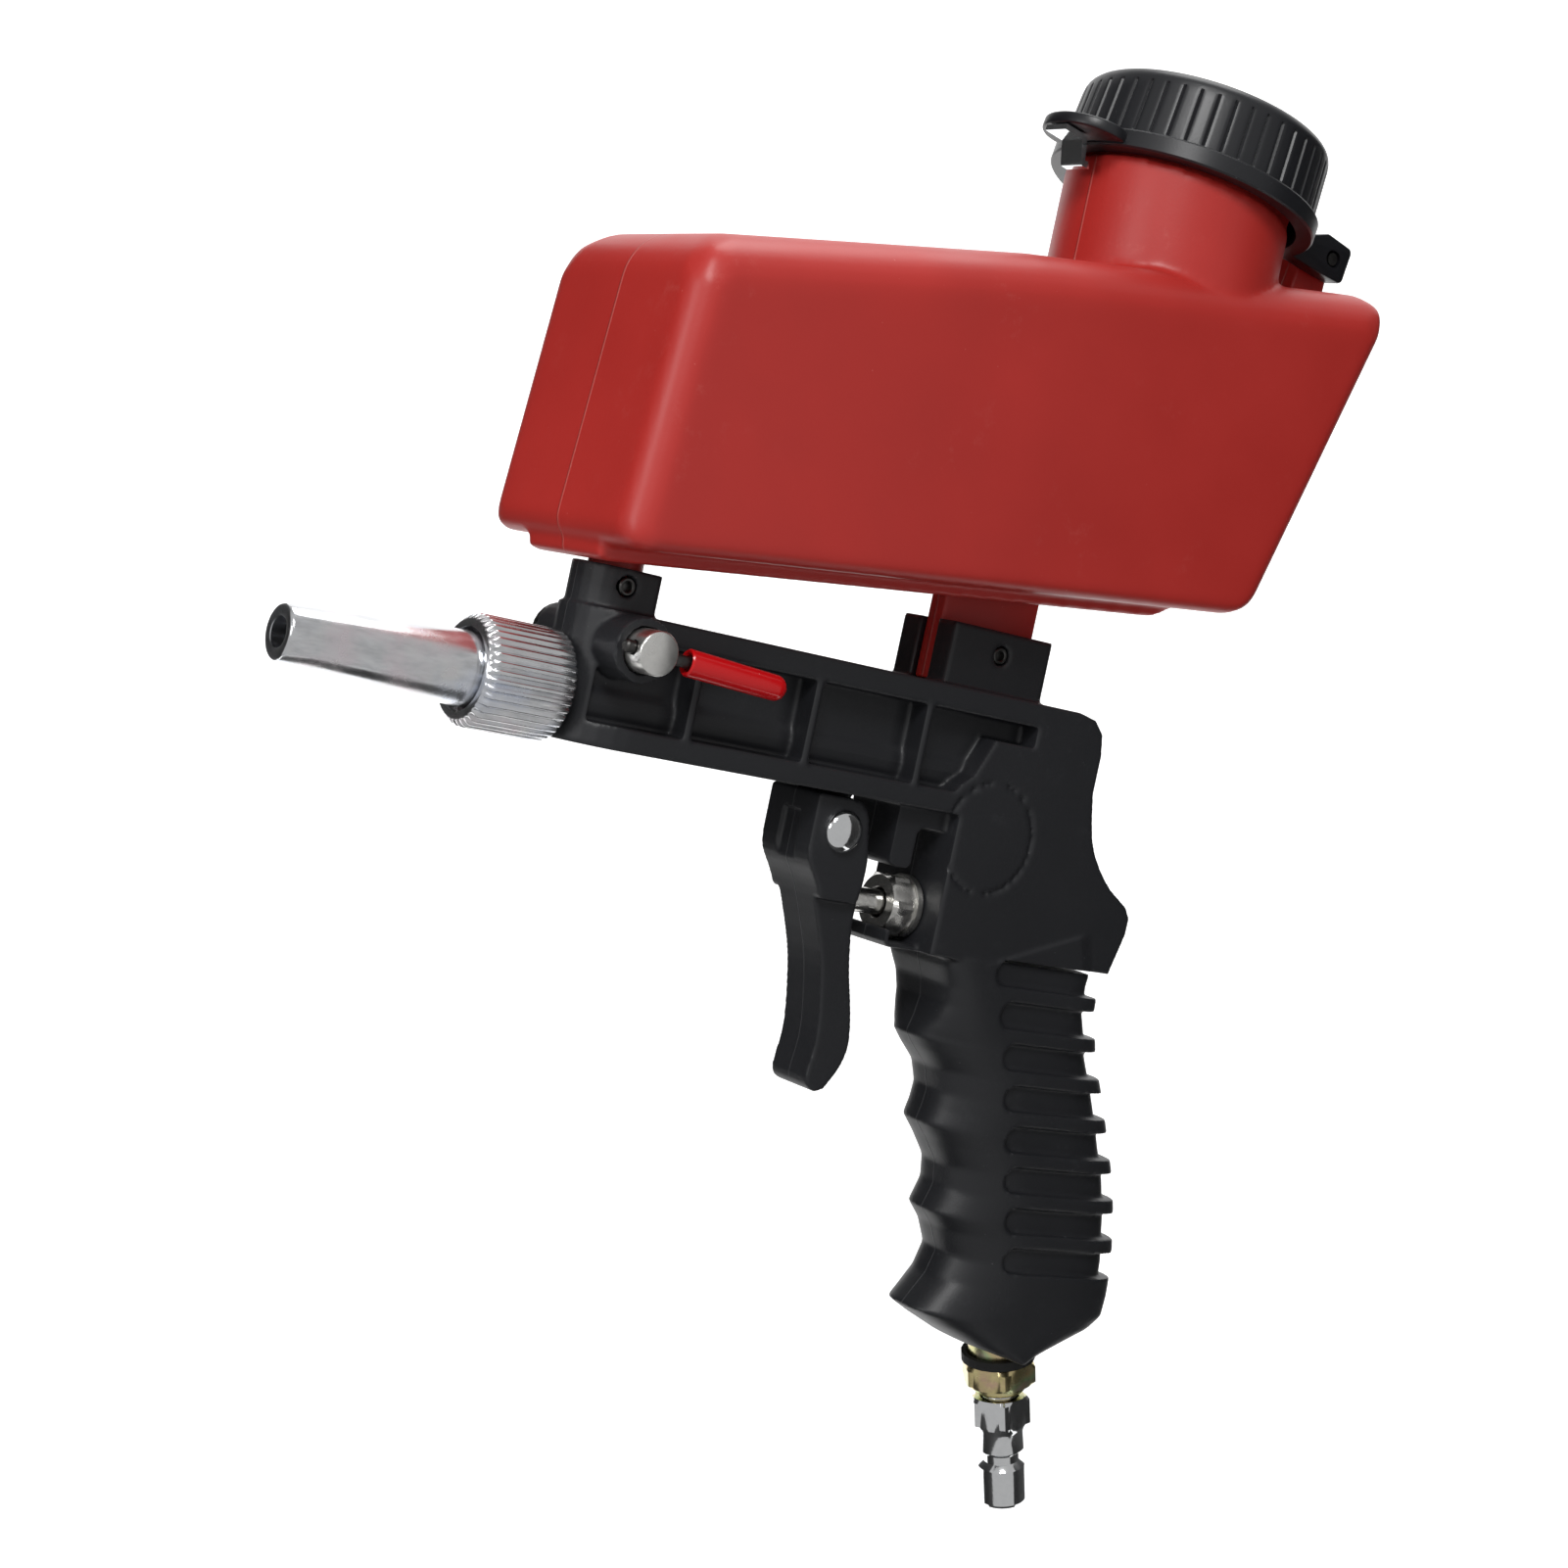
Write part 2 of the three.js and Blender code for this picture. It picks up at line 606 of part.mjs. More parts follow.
function trigger() {
  const [px, pz] = PIVOT;
  const local = (points) => points.map(([x, z, r]) => [x - px, z - pz, r]);
  const head = rounded(local([
    [-48.1, -11.3, 1], [-48, -26.2, 3], [-43.6, -31.8, 3], [-42, -35, 1], [-31.2, -35, 1],
    [-30.2, -26, 4], [-32.1, -19, 4], [-33.4, -11.4, 5],
  ]));
  const blade = new THREE.Shape();
  blade.moveTo(-46 - px, -28 - pz);
  const front = local([[-43.2, -32.5], [-36.8, -46.7], [-34, -57.1], [-32.5, -67.3], [-33.2, -76.5],
    [-30.4, -79.2], [-27.6, -78.4]]);
  blade.splineThru(front.map(([x, z]) => new THREE.Vector2(x, z)));
  const back = local([[-24.2, -73], [-23, -67.5], [-24.3, -60.2], [-27.4, -50], [-29.4, -40]]);
  blade.splineThru(back.map(([x, z]) => new THREE.Vector2(x, z)));
  blade.lineTo(-29.4 - px, -30 - pz);
  blade.closePath();
  const slot = union([
    rod('y', SLOT_RADIUS, -LUG_HALF - GAP, LUG_HALF + GAP),
    box([-SLOT_RADIUS, 20], [-LUG_HALF - GAP, LUG_HALF + GAP], [-SLOT_RADIUS, 20]),
  ]);
  return plate(head, -TRIGGER_HALF, TRIGGER_HALF)
    .add(plate(blade, -BLADE_HALF, BLADE_HALF))
    .subtract(slot)
    .subtract(box([-9, -7.2], [-3.4, 3.4], [-8, 3]))
    .subtract(rod('y', RIVET_RADIUS + GAP, -12, 12, undefined, 20));
}

function triggerRivet() {
  const near = -TRIGGER_HALF - GAP;
  const far = TRIGGER_HALF + GAP;
  return turned('y', [
    [near - DOME_HEIGHT, 0], [near - 0.93 * DOME_HEIGHT, 0.4 * DOME_RADIUS],
    [near - 0.7 * DOME_HEIGHT, 0.75 * DOME_RADIUS], [near - 0.3 * DOME_HEIGHT, DOME_RADIUS],
    [near, DOME_RADIUS], [near, RIVET_RADIUS], [far, RIVET_RADIUS], [far, 4], [far + 1, 4],
    [far + 1.6, 3], [far + 1.6, 0],
  ], undefined, 24);
}

// ---- Air valve, along X about its axis ----

function valveStem() {
  return turned('x', [
    [STEM_TIP_X, 0], [STEM_TIP_X + 0.3, 1.6], [STEM_TIP_X + 1.6, STEM_RADIUS],
    [-4, STEM_RADIUS], [-4, STEM_THIN_RADIUS], [STEM_BACK_X, STEM_THIN_RADIUS], [STEM_BACK_X, 0],
  ], undefined, 20);
}

function glandNut() {
  const [front, back] = GLAND_HEX;
  return hexagon('x', GLAND_ACROSS_FLATS, front, back)
    .add(rod('x', 7.6, back - 0.1, -10.4))
    .add(rod('x', VALVE_BORE_RADIUS - GAP, -10.5, -8))
    .subtract(rod('x', STEM_RADIUS + GAP, front - 1, -6, undefined, 20));
}

function stemSeal() {
  return ring('x', VALVE_BORE_RADIUS - GAP, STEM_RADIUS + 0.15, -7.7, -6.3);
}

function valveSeat() {
  return ring('x', VALVE_BORE_RADIUS - GAP, 2.8, SEAT_X, SEAT_X + 2.8);
}

function valvePoppet() {
  return turned('x', [
    [5.3, 0], [5.3, 4.4], [6.6, 5], [8, 5], [8, 2.6], [9.7, 2.6], [9.7, 0],
  ], undefined, 24);
}

class Helix extends THREE.Curve {
  getPoint(t, target = new THREE.Vector3()) {
    const angle = 2 * Math.PI * SPRING_COILS * t;
    const [start, end] = SPRING_SPAN;
    return target.set(
      start + (end - start) * t, SPRING_RADIUS * Math.cos(angle), SPRING_RADIUS * Math.sin(angle),
    );
  }
}

function valveSpring() {
  const wire = new THREE.Shape();
  wire.absarc(0, 0, SPRING_WIRE, 0, 2 * Math.PI);
  const options = { steps: 12 * SPRING_COILS, extrudePath: new Helix(), curveSegments: 3 };
  return solid(new THREE.ExtrudeGeometry(wire, options));
}

// ---- Air inlet, about its axis, with the grip above ----

function gripAirTube() {
  return ring('z', GRIP_TUBE_RADIUS, 2.8, 20.6, 20.6 + GRIP_TUBE_LENGTH, undefined, 16);
}

function inletWasher() {
  return ring('z', 9.2, ADAPTER_SHANK_RADIUS + GAP, 1.2, 3.4);
}

function inletAdapter() {
  return hexagon('z', ADAPTER_ACROSS_FLATS, -5, 0.9)
    .add(rod('z', ADAPTER_SHANK_RADIUS, 0.8, 19.6))
    .add(rod('z', 6.6, -7.4, -4.9))
    .subtract(rod('z', 5, -9, 12))
    .subtract(rod('z', 2.8, 11, 21));
}

function airPlug() {
  const outside = turned('z', [
    [4, 0], [4, 4.7], [-8, 4.7], [-8, 6.3], [-16.5, 6.3], [-17, PLUG_RADIUS], [-22, PLUG_RADIUS],
    [-23.2, 4.5], [-25.4, 4.5], [-26.4, PLUG_RADIUS], [PLUG_END + 1, PLUG_RADIUS],
    [PLUG_END, PLUG_RADIUS - 1], [PLUG_END, 0],
  ]);
  return outside
    .add(hexagon('z', PLUG_ACROSS_FLATS, -15.6, -8))
    .subtract(rod('z', 3, PLUG_END - 1, 5, undefined, 20));
}

// ---- Hopper ----

const HOPPER_CORNERS = [
  [-124.6, 27.8, 12], [52, 47, 14], [80, 133.6, 13], [-31, 115.6, 30], [-119.8, 97, 12],
];

function neck() {
  const top = new THREE.BoxGeometry(120, 120, 60);
  top.translate(0, 0, 30 - GAP);
  top.rotateY(LID_TILT);
  const above = solid(top, [LID[0], 0, LID[1]]);
  const tube = rod('z', NECK_RADIUS, 105, 160, [NECK_X, 0, 0], 40).subtract(above);
  return [tube, tiltedRim(RIM_RADIUS, -8, RIM_TOP)];
}

/** A cylinder about the lid's axis. */
function tiltedRim(radius, from, to) {
  const points = [[from, 0], [from, radius], [to, radius], [to, 0]];
  const geometry = new THREE.LatheGeometry(points.map(([z, r]) => new THREE.Vector2(r, z)), 40);
  geometry.rotateX(Math.PI / 2);
  geometry.rotateY(LID_TILT);
  return solid(geometry, [LID[0], 0, LID[1]]);
}

function hingeLug() {
  const [x, z] = HINGE;
  const foot = rounded([[x - 7, 128], [x + 3, 129], [x + 4.6, z, 1], [x - 4.6, z, 1]]);
  return [
    plate(foot, -HINGE_LUG_HALF, HINGE_LUG_HALF),
    rod('y', HINGE_RADIUS, -HINGE_LUG_HALF, HINGE_LUG_HALF, [x, 0, z], 20),
  ];
}

function hopper() {
  const outer = plate(rounded(HOPPER_CORNERS), -HOPPER_HALF, HOPPER_HALF, HOPPER_EDGE);
  const innerHalf = HOPPER_HALF - HOPPER_WALL;
  const inner = plate(
    rounded(inset(HOPPER_CORNERS, HOPPER_WALL)), -innerHalf, innerHalf, HOPPER_EDGE - HOPPER_WALL,
  );
  const legs = [
    rod('z', LEG_RADIUS, LEG_BOTTOM, 31, [FEED_X, 0, 0]),
    box([REAR_LEG_FRONT_X, REAR_LEG_BACK_X], [-REAR_LEG_HALF, REAR_LEG_HALF], [HOUSING_TOP + GAP, 42]),
  ];
  const pin = HINGE_PIN_RADIUS + GAP;
  return union([outer, ...neck()])
    .subtract(inner)
    .subtract(tiltedRim(NECK_BORE_RADIUS, -30, RIM_TOP + 1))
    .add(union([...legs, ...hingeLug()]))
    .subtract(rod('z', LEG_BORE_RADIUS, 19, 34, [FEED_X, 0, 0], 20))
    .subtract(rod('y', SCREW_RADIUS + GAP, -9, 9, [REAR_SCREW[0], 0, REAR_SCREW[1]], 20))
    .subtract(rod('y', pin, -9, 9, [HINGE[0], 0, HINGE[1]], 16));
}

function feedGasket() {
  const bottom = LEG_BOTTOM - GAP - GASKET_DEPTH;
  return ring('z', LEG_RADIUS, PORT_RADIUS + 1, bottom, bottom + GASKET_DEPTH);
}

/** A socket screw along Y, its socket at the near end. */
function socketScrew(near, far) {
  return rod('y', SCREW_RADIUS, near, far, undefined, 20)
    .subtract(rod('y', SCREW_RADIUS / 2, near - 1, near + 2, undefined, 6));
}

// ---- Lid, about the centre of its flange's underside ----

/** The hinge's axis seen from the lid. */
function hingeFromLid() {
  const offset = new THREE.Vector3(HINGE[0] - LID[0], 0, HINGE[1] - LID[1]);
  return offset.applyAxisAngle(new THREE.Vector3(0, 1, 0), -LID_TILT);
}

function knuckles() {
  const hinge = hingeFromLid();
  const reach = FLANGE_RADIUS - 4;
  return [-1, 1].flatMap((side) => {
    const ys = [side * (HINGE_LUG_HALF + GAP + 0.2), side * 8.6].sort((a, b) => a - b);
    const arm = rounded([[reach, 0], [hinge.x, hinge.z - 4.6], [hinge.x, hinge.z + HINGE_RADIUS],
      [reach, FLANGE_HEIGHT]]);
    return [plate(arm, ...ys), rod('y', HINGE_RADIUS, ...ys, [hinge.x, 0, hinge.z], 20)];
  });
}

function thumbTab() {
  const tab = new THREE.Shape();
  tab.absellipse(-FLANGE_RADIUS - 1, 0, 9, 11, 0, 2 * Math.PI);
  return prism(tab, 0.6, 3.6);
}

function lidCap() {
  const hinge = hingeFromLid();
  const core = turned('z', [
    [0, 0], [0, FLANGE_RADIUS - 0.6], [0.6, FLANGE_RADIUS], [FLANGE_HEIGHT - 0.6, FLANGE_RADIUS],
    [FLANGE_HEIGHT, FLANGE_RADIUS - 0.6], [FLANGE_HEIGHT, LID_RADIUS - RIB_DEPTH],
    [LID_RIB_TOP, LID_RADIUS - RIB_DEPTH], [20.2, LID_RADIUS - 2.4], [21.8, LID_RADIUS - 5.6],
    [22.8, 20], [LID_TOP, 8], [LID_TOP, 0],
  ], undefined, 48);
  const bore = rod('z', LID_BORE_RADIUS, -1, LID_ROOF, undefined, 48);
  const well = rod('z', LID_RADIUS - 9, LID_ROOF - 1, LID_RIB_TOP + 1, undefined, 40);
  const ribs = prism(toothedOutline(LID_RIBS, LID_RADIUS, RIB_DEPTH), FLANGE_HEIGHT - 0.2, LID_RIB_TOP);
  return union([core, ribs, thumbTab(), ...knuckles()])
    .subtract(bore)
    .subtract(well)
    .subtract(rod('y', HINGE_PIN_RADIUS + GAP, -12, 12, [hinge.x, 0, hinge.z], 16));
}

function lidGasket() {
  return ring('z', RIM_RADIUS, NECK_BORE_RADIUS + 0.4, RIM_TOP + GAP, LID_ROOF - GAP, undefined, 40);
}

function latchClip() {
  const x = -FLANGE_RADIUS - 5;
  const strip = rounded([[x - 4, 0.3], [x - 4, -1], [x + 1.6, -1], [x + 3.6, -6.4, 0.6],
    [x + 6.4, -6.4, 0.6], [x + 5.4, -4.8], [x + 4.4, -5], [x + 2.8, 0.3]]);
  return plate(strip, -3.6, 3.6);
}

function hingePin() {
  return rod('y', HINGE_PIN_RADIUS, -8.4, 8.4, undefined, 16);
}

// ---- Assembly ----

const FINISHES = {
  black: { color: 0x1d1f23, roughness: 0.6, metalness: 0 },
  red: { color: 0xb3252a, roughness: 0.45, metalness: 0 },
  redVinyl: { color: 0xd0161c, roughness: 0.25, metalness: 0 },
  aluminium: { color: 0xd6d8da, roughness: 0.3, metalness: 1 },
  steel: { color: 0xb4b4b0, roughness: 0.3, metalness: 1 },
  darkSteel: { color: 0x3a3a3a, roughness: 0.4, metalness: 1 },
  chrome: { color: 0xe6e8ea, roughness: 0.12, metalness: 1 },
  yellowZinc: { color: 0xc9b25e, roughness: 0.3, metalness: 1 },
  brass: { color: 0xb8934a, roughness: 0.35, metalness: 1 },
  rubber: { color: 0x141414, roughness: 0.8, metalness: 0 },
};

function piece(name, body, finish) {
  const mesh = new THREE.Mesh(toGeometry(body), new THREE.MeshStandardMaterial(FINISHES[finish]));
  mesh.name = name;
  return mesh;
}

function placed([x, y, z], pieces, tilt = 0) {
  const holder = new THREE.Group();
  holder.position.set(x, y, z);
  holder.rotation.y = tilt;
  holder.add(...pieces);
  return holder;
}

const barrel = placed([0, 0, 0], [
  piece('gun_body', gunBody(), 'black'),
  piece('nozzle', nozzle(), 'aluminium'),
  piece('nozzle_nut', nozzleNut(), 'aluminium'),
  piece('nozzle_washer', nozzleWasher(), 'rubber'),
  piece('barrel_tube', barrelTube(), 'steel'),
  piece('air_jet', airJet(), 'brass'),
  piece('barrel_air_tube', barrelAirTube(), 'steel'),
]);

const lever = placed([0, ROD_Y, 0], [
  piece('lever_rod', leverRod(), 'darkSteel'),
  piece('lever_sleeve', leverSleeve(), 'redVinyl'),
], LEVER_DROP);

const sandValve = placed([FEED_X, 0, SPINDLE_Z], [
  piece('valve_spindle', valveSpindle(), 'steel'),
  piece('spindle_seal_near', spindleSeal(-SEAL_Y), 'rubber'),
  piece('spindle_seal_far', spindleSeal(SEAL_Y), 'rubber'),
  piece('spindle_washer', spindleWasher(), 'darkSteel'),
  piece('spindle_screw', spindleScrew(), 'steel'),
  lever,
]);

const triggerSet = placed([PIVOT[0], 0, PIVOT[1]], [
  piece('trigger', trigger(), 'black'),
  piece('trigger_rivet', triggerRivet(), 'chrome'),
]);

const airValve = placed([0, 0, VALVE_Z], [
  piece('valve_stem', valveStem(), 'steel'),
  piece('gland_nut', glandNut(), 'steel'),
  piece('stem_seal', stemSeal(), 'rubber'),
  piece('valve_seat', valveSeat(), 'brass'),
  piece('valve_poppet', valvePoppet(), 'brass'),
  piece('valve_spring', valveSpring(), 'steel'),
]);

const inlet = placed([INLET[0], 0, INLET[1]], [
  piece('grip_air_tube', gripAirTube(), 'steel'),
  piece('inlet_washer', inletWasher(), 'rubber'),
  piece('inlet_adapter', inletAdapter(), 'yellowZinc'),
  piece('air_plug', airPlug(), 'chrome'),
], -INLET_TILT);

const feedSeal = placed([FEED_X, 0, 0], [piece('feed_gasket', feedGasket(), 'rubber')]);

const frontScrew = placed([FRONT_SCREW[0], 0, FRONT_SCREW[1]], [
  piece('front_leg_screw', socketScrew(-8.9, -LEG_RADIUS - GAP), 'darkSteel'),
]);
const rearScrew = placed([REAR_SCREW[0], 0, REAR_SCREW[1]], [
  piece('rear_leg_screw', socketScrew(-9.5, 9.5), 'darkSteel'),
]);
const lidHinge = placed([HINGE[0], 0, HINGE[1]], [piece('lid_hinge_pin', hingePin(), 'darkSteel')]);

const lid = placed([LID[0], 0, LID[1]], [
  piece('lid_cap', lidCap(), 'black'),
  piece('lid_gasket', lidGasket(), 'rubber'),
  piece('latch_clip', latchClip(), 'chrome'),
], LID_TILT);

const group = placed([0, 0, 0], [
  piece('hopper', hopper(), 'red'), feedSeal,
  barrel, sandValve, triggerSet, airValve, inlet, frontScrew, rearScrew, lidHinge, lid,
]);

export default group;
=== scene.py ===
"""A hand-held sand-blasting gun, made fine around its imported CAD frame. Metres."""
import json
import math

import bmesh
import bpy
import numpy as np
from mathutils import Matrix, Vector


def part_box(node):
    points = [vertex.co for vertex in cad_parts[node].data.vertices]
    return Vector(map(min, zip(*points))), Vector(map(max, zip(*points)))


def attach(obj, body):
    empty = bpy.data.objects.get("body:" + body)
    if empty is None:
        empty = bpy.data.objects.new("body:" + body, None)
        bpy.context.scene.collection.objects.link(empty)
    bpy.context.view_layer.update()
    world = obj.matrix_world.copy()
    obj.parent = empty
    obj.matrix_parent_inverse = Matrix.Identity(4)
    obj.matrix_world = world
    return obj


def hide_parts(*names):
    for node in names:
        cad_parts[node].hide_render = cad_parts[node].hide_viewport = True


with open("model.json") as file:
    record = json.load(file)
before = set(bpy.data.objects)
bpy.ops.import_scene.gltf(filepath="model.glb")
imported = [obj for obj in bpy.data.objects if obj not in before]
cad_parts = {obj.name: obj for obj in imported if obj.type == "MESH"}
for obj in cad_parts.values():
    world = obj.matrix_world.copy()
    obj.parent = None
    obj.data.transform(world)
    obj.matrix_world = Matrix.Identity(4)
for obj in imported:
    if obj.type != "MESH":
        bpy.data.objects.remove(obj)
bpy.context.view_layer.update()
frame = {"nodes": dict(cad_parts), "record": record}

MM = 0.001
X_AXIS = Vector((1, 0, 0))
Y_AXIS = Vector((0, 1, 0))
Z_AXIS = Vector((0, 0, 1))
BEYOND = 2 * MM


def low(node):
    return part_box(node)[0]


def high(node):
    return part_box(node)[1]


def middle(node):
    return (low(node) + high(node)) / 2


# ---- Meshes ----

def mesh_object(name, verts, faces):
    mesh = bpy.data.meshes.new(name)
    mesh.from_pydata([tuple(v) for v in verts], [], faces)
    mesh.validate()
    piece = bpy.data.objects.new(name, mesh)
    bpy.context.scene.collection.objects.link(piece)
    form = bmesh.new()
    form.from_mesh(mesh)
    bmesh.ops.remove_doubles(form, verts=form.verts, dist=1e-7)
    bmesh.ops.recalc_face_normals(form, faces=form.faces)
    form.to_mesh(mesh)
    form.free()
    return piece


def basis(axis):
    """Two directions square to an axis."""
    side = X_AXIS if abs(axis.x) < 0.9 else Y_AXIS
    across = axis.cross(side).normalized()
    return across, axis.cross(across).normalized()


def hexagonal(across_flats):
    """Limits a turned radius to a hexagon, as a chamfered nut is."""
    def limit(angle, along, radius):
        from_flat = (angle + math.pi / 6) % (math.pi / 3) - math.pi / 6
        return min(radius, across_flats / 2 / math.cos(from_flat))
    return limit


def spun(name, origin, axis, profile, steps=96, shape=None):
    """Turns [distance along the axis, radius] points about it. A profile that starts and ends
    off the axis closes on itself."""
    axis = Vector(axis).normalized()
    origin = Vector(origin)
    across, up = basis(axis)
    points = [tuple(point) for point in profile]
    solid_core = points[0][1] == 0 and points[-1][1] == 0
    verts = []
    for along, radius in points:
        for step in range(steps):
            angle = 2 * math.pi * step / steps
            reach = shape(angle, along, radius) if shape and radius > 0 else radius
            verts.append(origin + axis * along + across * reach * math.cos(angle)
                         + up * reach * math.sin(angle))
    faces = []
    rows = len(points)
    for row in range(rows - 1 if solid_core else rows):
        after = (row + 1) % rows
        for step in range(steps):
            turn = (step + 1) % steps
            faces.append((row * steps + step, row * steps + turn, after * steps + turn,
                          after * steps + step))
    piece = mesh_object(name, verts, faces)
    smooth(piece)
    return piece


def arc_corner(before, corner, after, radius, steps=5):
    """Points of a round corner between two straight edges."""
    before, corner, after = Vector(before), Vector(corner), Vector(after)
    back = (before - corner).normalized()
    ahead = (after - corner).normalized()
    half = back.angle(ahead) / 2
    if radius <= 0 or half > math.radians(89):
        return [corner]
    reach = radius / math.tan(half)
    centre = corner + (back + ahead).normalized() * radius / math.sin(half)
    start = corner + back * reach - centre
    end = corner + ahead * reach - centre
    points = []
    for step in range(steps + 1):
        mix = start.lerp(end, step / steps)
        points.append(centre + mix.normalized() * radius)
    return points


def rounded(corners, steps=5):
    """An outline through (x, z, corner radius) in mm, in metres."""
    points = []
    count = len(corners)
    for i, (x, z, radius) in enumerate(corners):
        before = corners[i - 1][:2]
        after = corners[(i + 1) % count][:2]
        points += arc_corner(before, (x, z), after, radius, steps)
    return [(point[0] * MM, point[1] * MM) for point in points]


def prism(name, outline, near, far):
    """An (x, z) outline in metres, from y near to y far."""
    count = len(outline)
    verts = [(x, near, z) for x, z in outline] + [(x, far, z) for x, z in outline]
    faces = [tuple(range(count)), tuple(reversed(range(count, 2 * count)))]
    for i in range(count):
        j = (i + 1) % count
        faces.append((i, j, count + j, count + i))
    return mesh_object(name, verts, faces)


def block(name, lowest, highest):
    outline = [(lowest[0], lowest[2]), (highest[0], lowest[2]), (highest[0], highest[2]),
               (lowest[0], highest[2])]
    return prism(name, outline, lowest[1], highest[1])


def cylinder(name, origin, axis, radius, start, end, steps=64):
    return spun(name, origin, axis, [(start, 0), (start, radius), (end, radius), (end, 0)], steps)


def apply_modifiers(piece):
    bpy.context.view_layer.update()
    graph = bpy.context.evaluated_depsgraph_get()
    made = bpy.data.meshes.new_from_object(piece.evaluated_get(graph))
    piece.modifiers.clear()
    piece.data = made
    return piece


def boolean(piece, tools, operation):
    for tool in tools:
        step = piece.modifiers.new("boolean", "BOOLEAN")
        step.operation = operation
        step.object = tool
        step.solver = "MANIFOLD"
        apply_modifiers(piece)
        bpy.data.objects.remove(tool)
    return piece


def joined(piece, tools):
    return boolean(piece, tools, "UNION")


def cut(piece, tools):
    return boolean(piece, tools, "DIFFERENCE")


def copy_of(node, name):
    """A new object with a CAD node's shape."""
    piece = bpy.data.objects.new(name, frame["nodes"][node].data.copy())
    bpy.context.scene.collection.objects.link(piece)
    form = bmesh.new()
    form.from_mesh(piece.data)
    bmesh.ops.remove_doubles(form, verts=form.verts, dist=1e-7)
    form.to_mesh(piece.data)
    form.free()
    return piece


def bevelled(piece, width, steps=3, angle=30):
    step = piece.modifiers.new("bevel", "BEVEL")
    step.width = width
    step.segments = steps
    step.limit_method = "ANGLE"
    step.angle_limit = math.radians(angle)
    step.harden_normals = False
    apply_modifiers(piece)
    smooth(piece)
    return piece


def softened(piece, voxel, rounds):
    """One even skin over a piece, with its edges and joins rounded."""
    step = piece.modifiers.new("remesh", "REMESH")
    step.mode = "VOXEL"
    step.voxel_size = voxel
    step.use_smooth_shade = True
    soften = piece.modifiers.new("smooth", "SMOOTH")
    soften.factor = 0.5
    soften.iterations = rounds
    apply_modifiers(piece)
    smooth(piece)
    return piece


def smooth(piece, angle=35):
    mesh = piece.data
    mesh.polygons.foreach_set("use_smooth", [True] * len(mesh.polygons))
    form = bmesh.new()
    form.from_mesh(mesh)
    for edge in form.edges:
        edge.smooth = len(edge.link_faces) == 2 and edge.calc_face_angle(0) < math.radians(angle)
    form.to_mesh(mesh)
    form.free()


def finish_piece(piece, body, nodes, material):
    piece.data.materials.clear()
    piece.data.materials.append(material)
    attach(piece, body)
    if nodes:
        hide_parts(*nodes)
    return piece


# ---- Materials ----

def new_material(name):
    material = bpy.data.materials.new(name)
    material.use_nodes = True
    nodes = material.node_tree.nodes
    return material, nodes, material.node_tree.links, nodes["Principled BSDF"]


def object_position(nodes):
    return nodes.new("ShaderNodeTexCoord").outputs["Object"]


def noise(nodes, links, place, scale, detail=4, roughness=0.55):
    node = nodes.new("ShaderNodeTexNoise")
    node.inputs["Scale"].default_value = scale
    node.inputs["Detail"].default_value = detail
    node.inputs["Roughness"].default_value = roughness
    links.new(place, node.inputs["Vector"])
    return node.outputs["Fac"]


def ramp(nodes, links, value, stops):
    node = nodes.new("ShaderNodeValToRGB")
    while len(node.color_ramp.elements) < len(stops):
        node.color_ramp.elements.new(0.5)
    for element, (place, colour) in zip(node.color_ramp.elements, stops):
        element.position = place
        element.color = (*colour, 1)
    links.new(value, node.inputs["Fac"])
    return node.outputs["Color"]


def span(nodes, links, value, from_low, from_high, to_low, to_high):
    node = nodes.new("ShaderNodeMapRange")
    links.new(value, node.inputs["Value"])
    for key, number in (("From Min", from_low), ("From Max", from_high), ("To Min", to_low),
                        ("To Max", to_high)):
        node.inputs[key].default_value = number
    return node.outputs["Result"]


def mixed(nodes, links, factor, first, second, kind="MIX"):
    node = nodes.new("ShaderNodeMix")
    node.data_type = "RGBA"
    node.blend_type = kind
    links.new(factor, node.inputs["Factor"])
    for key, value in (("A", first), ("B", second)):
        socket = [s for s in node.inputs if s.name == key and s.type == "RGBA"][0]
        if isinstance(value, tuple):
            socket.default_value = (*value, 1)
        else:
            links.new(value, socket)
    return [s for s in node.outputs if s.type == "RGBA"][0]


def bump(nodes, links, height, strength, distance, normal=None):
    node = nodes.new("ShaderNodeBump")
    node.inputs["Strength"].default_value = strength
    node.inputs["Distance"].default_value = distance
    links.new(height, node.inputs["Height"])
    if normal is not None:
        links.new(normal, node.inputs["Normal"])
    return node.outputs["Normal"]


def seam_mask(nodes, links, place, half_width):
    """1 on a thin line where the two halves of a moulding meet, at y = 0."""
    parts = nodes.new("ShaderNodeSeparateXYZ")
    links.new(place, parts.inputs[0])
    size = nodes.new("ShaderNodeMath")
    size.operation = "ABSOLUTE"
    links.new(parts.outputs["Y"], size.inputs[0])
    return span(nodes, links, size.outputs[0], half_width * 0.4, half_width, 1, 0)


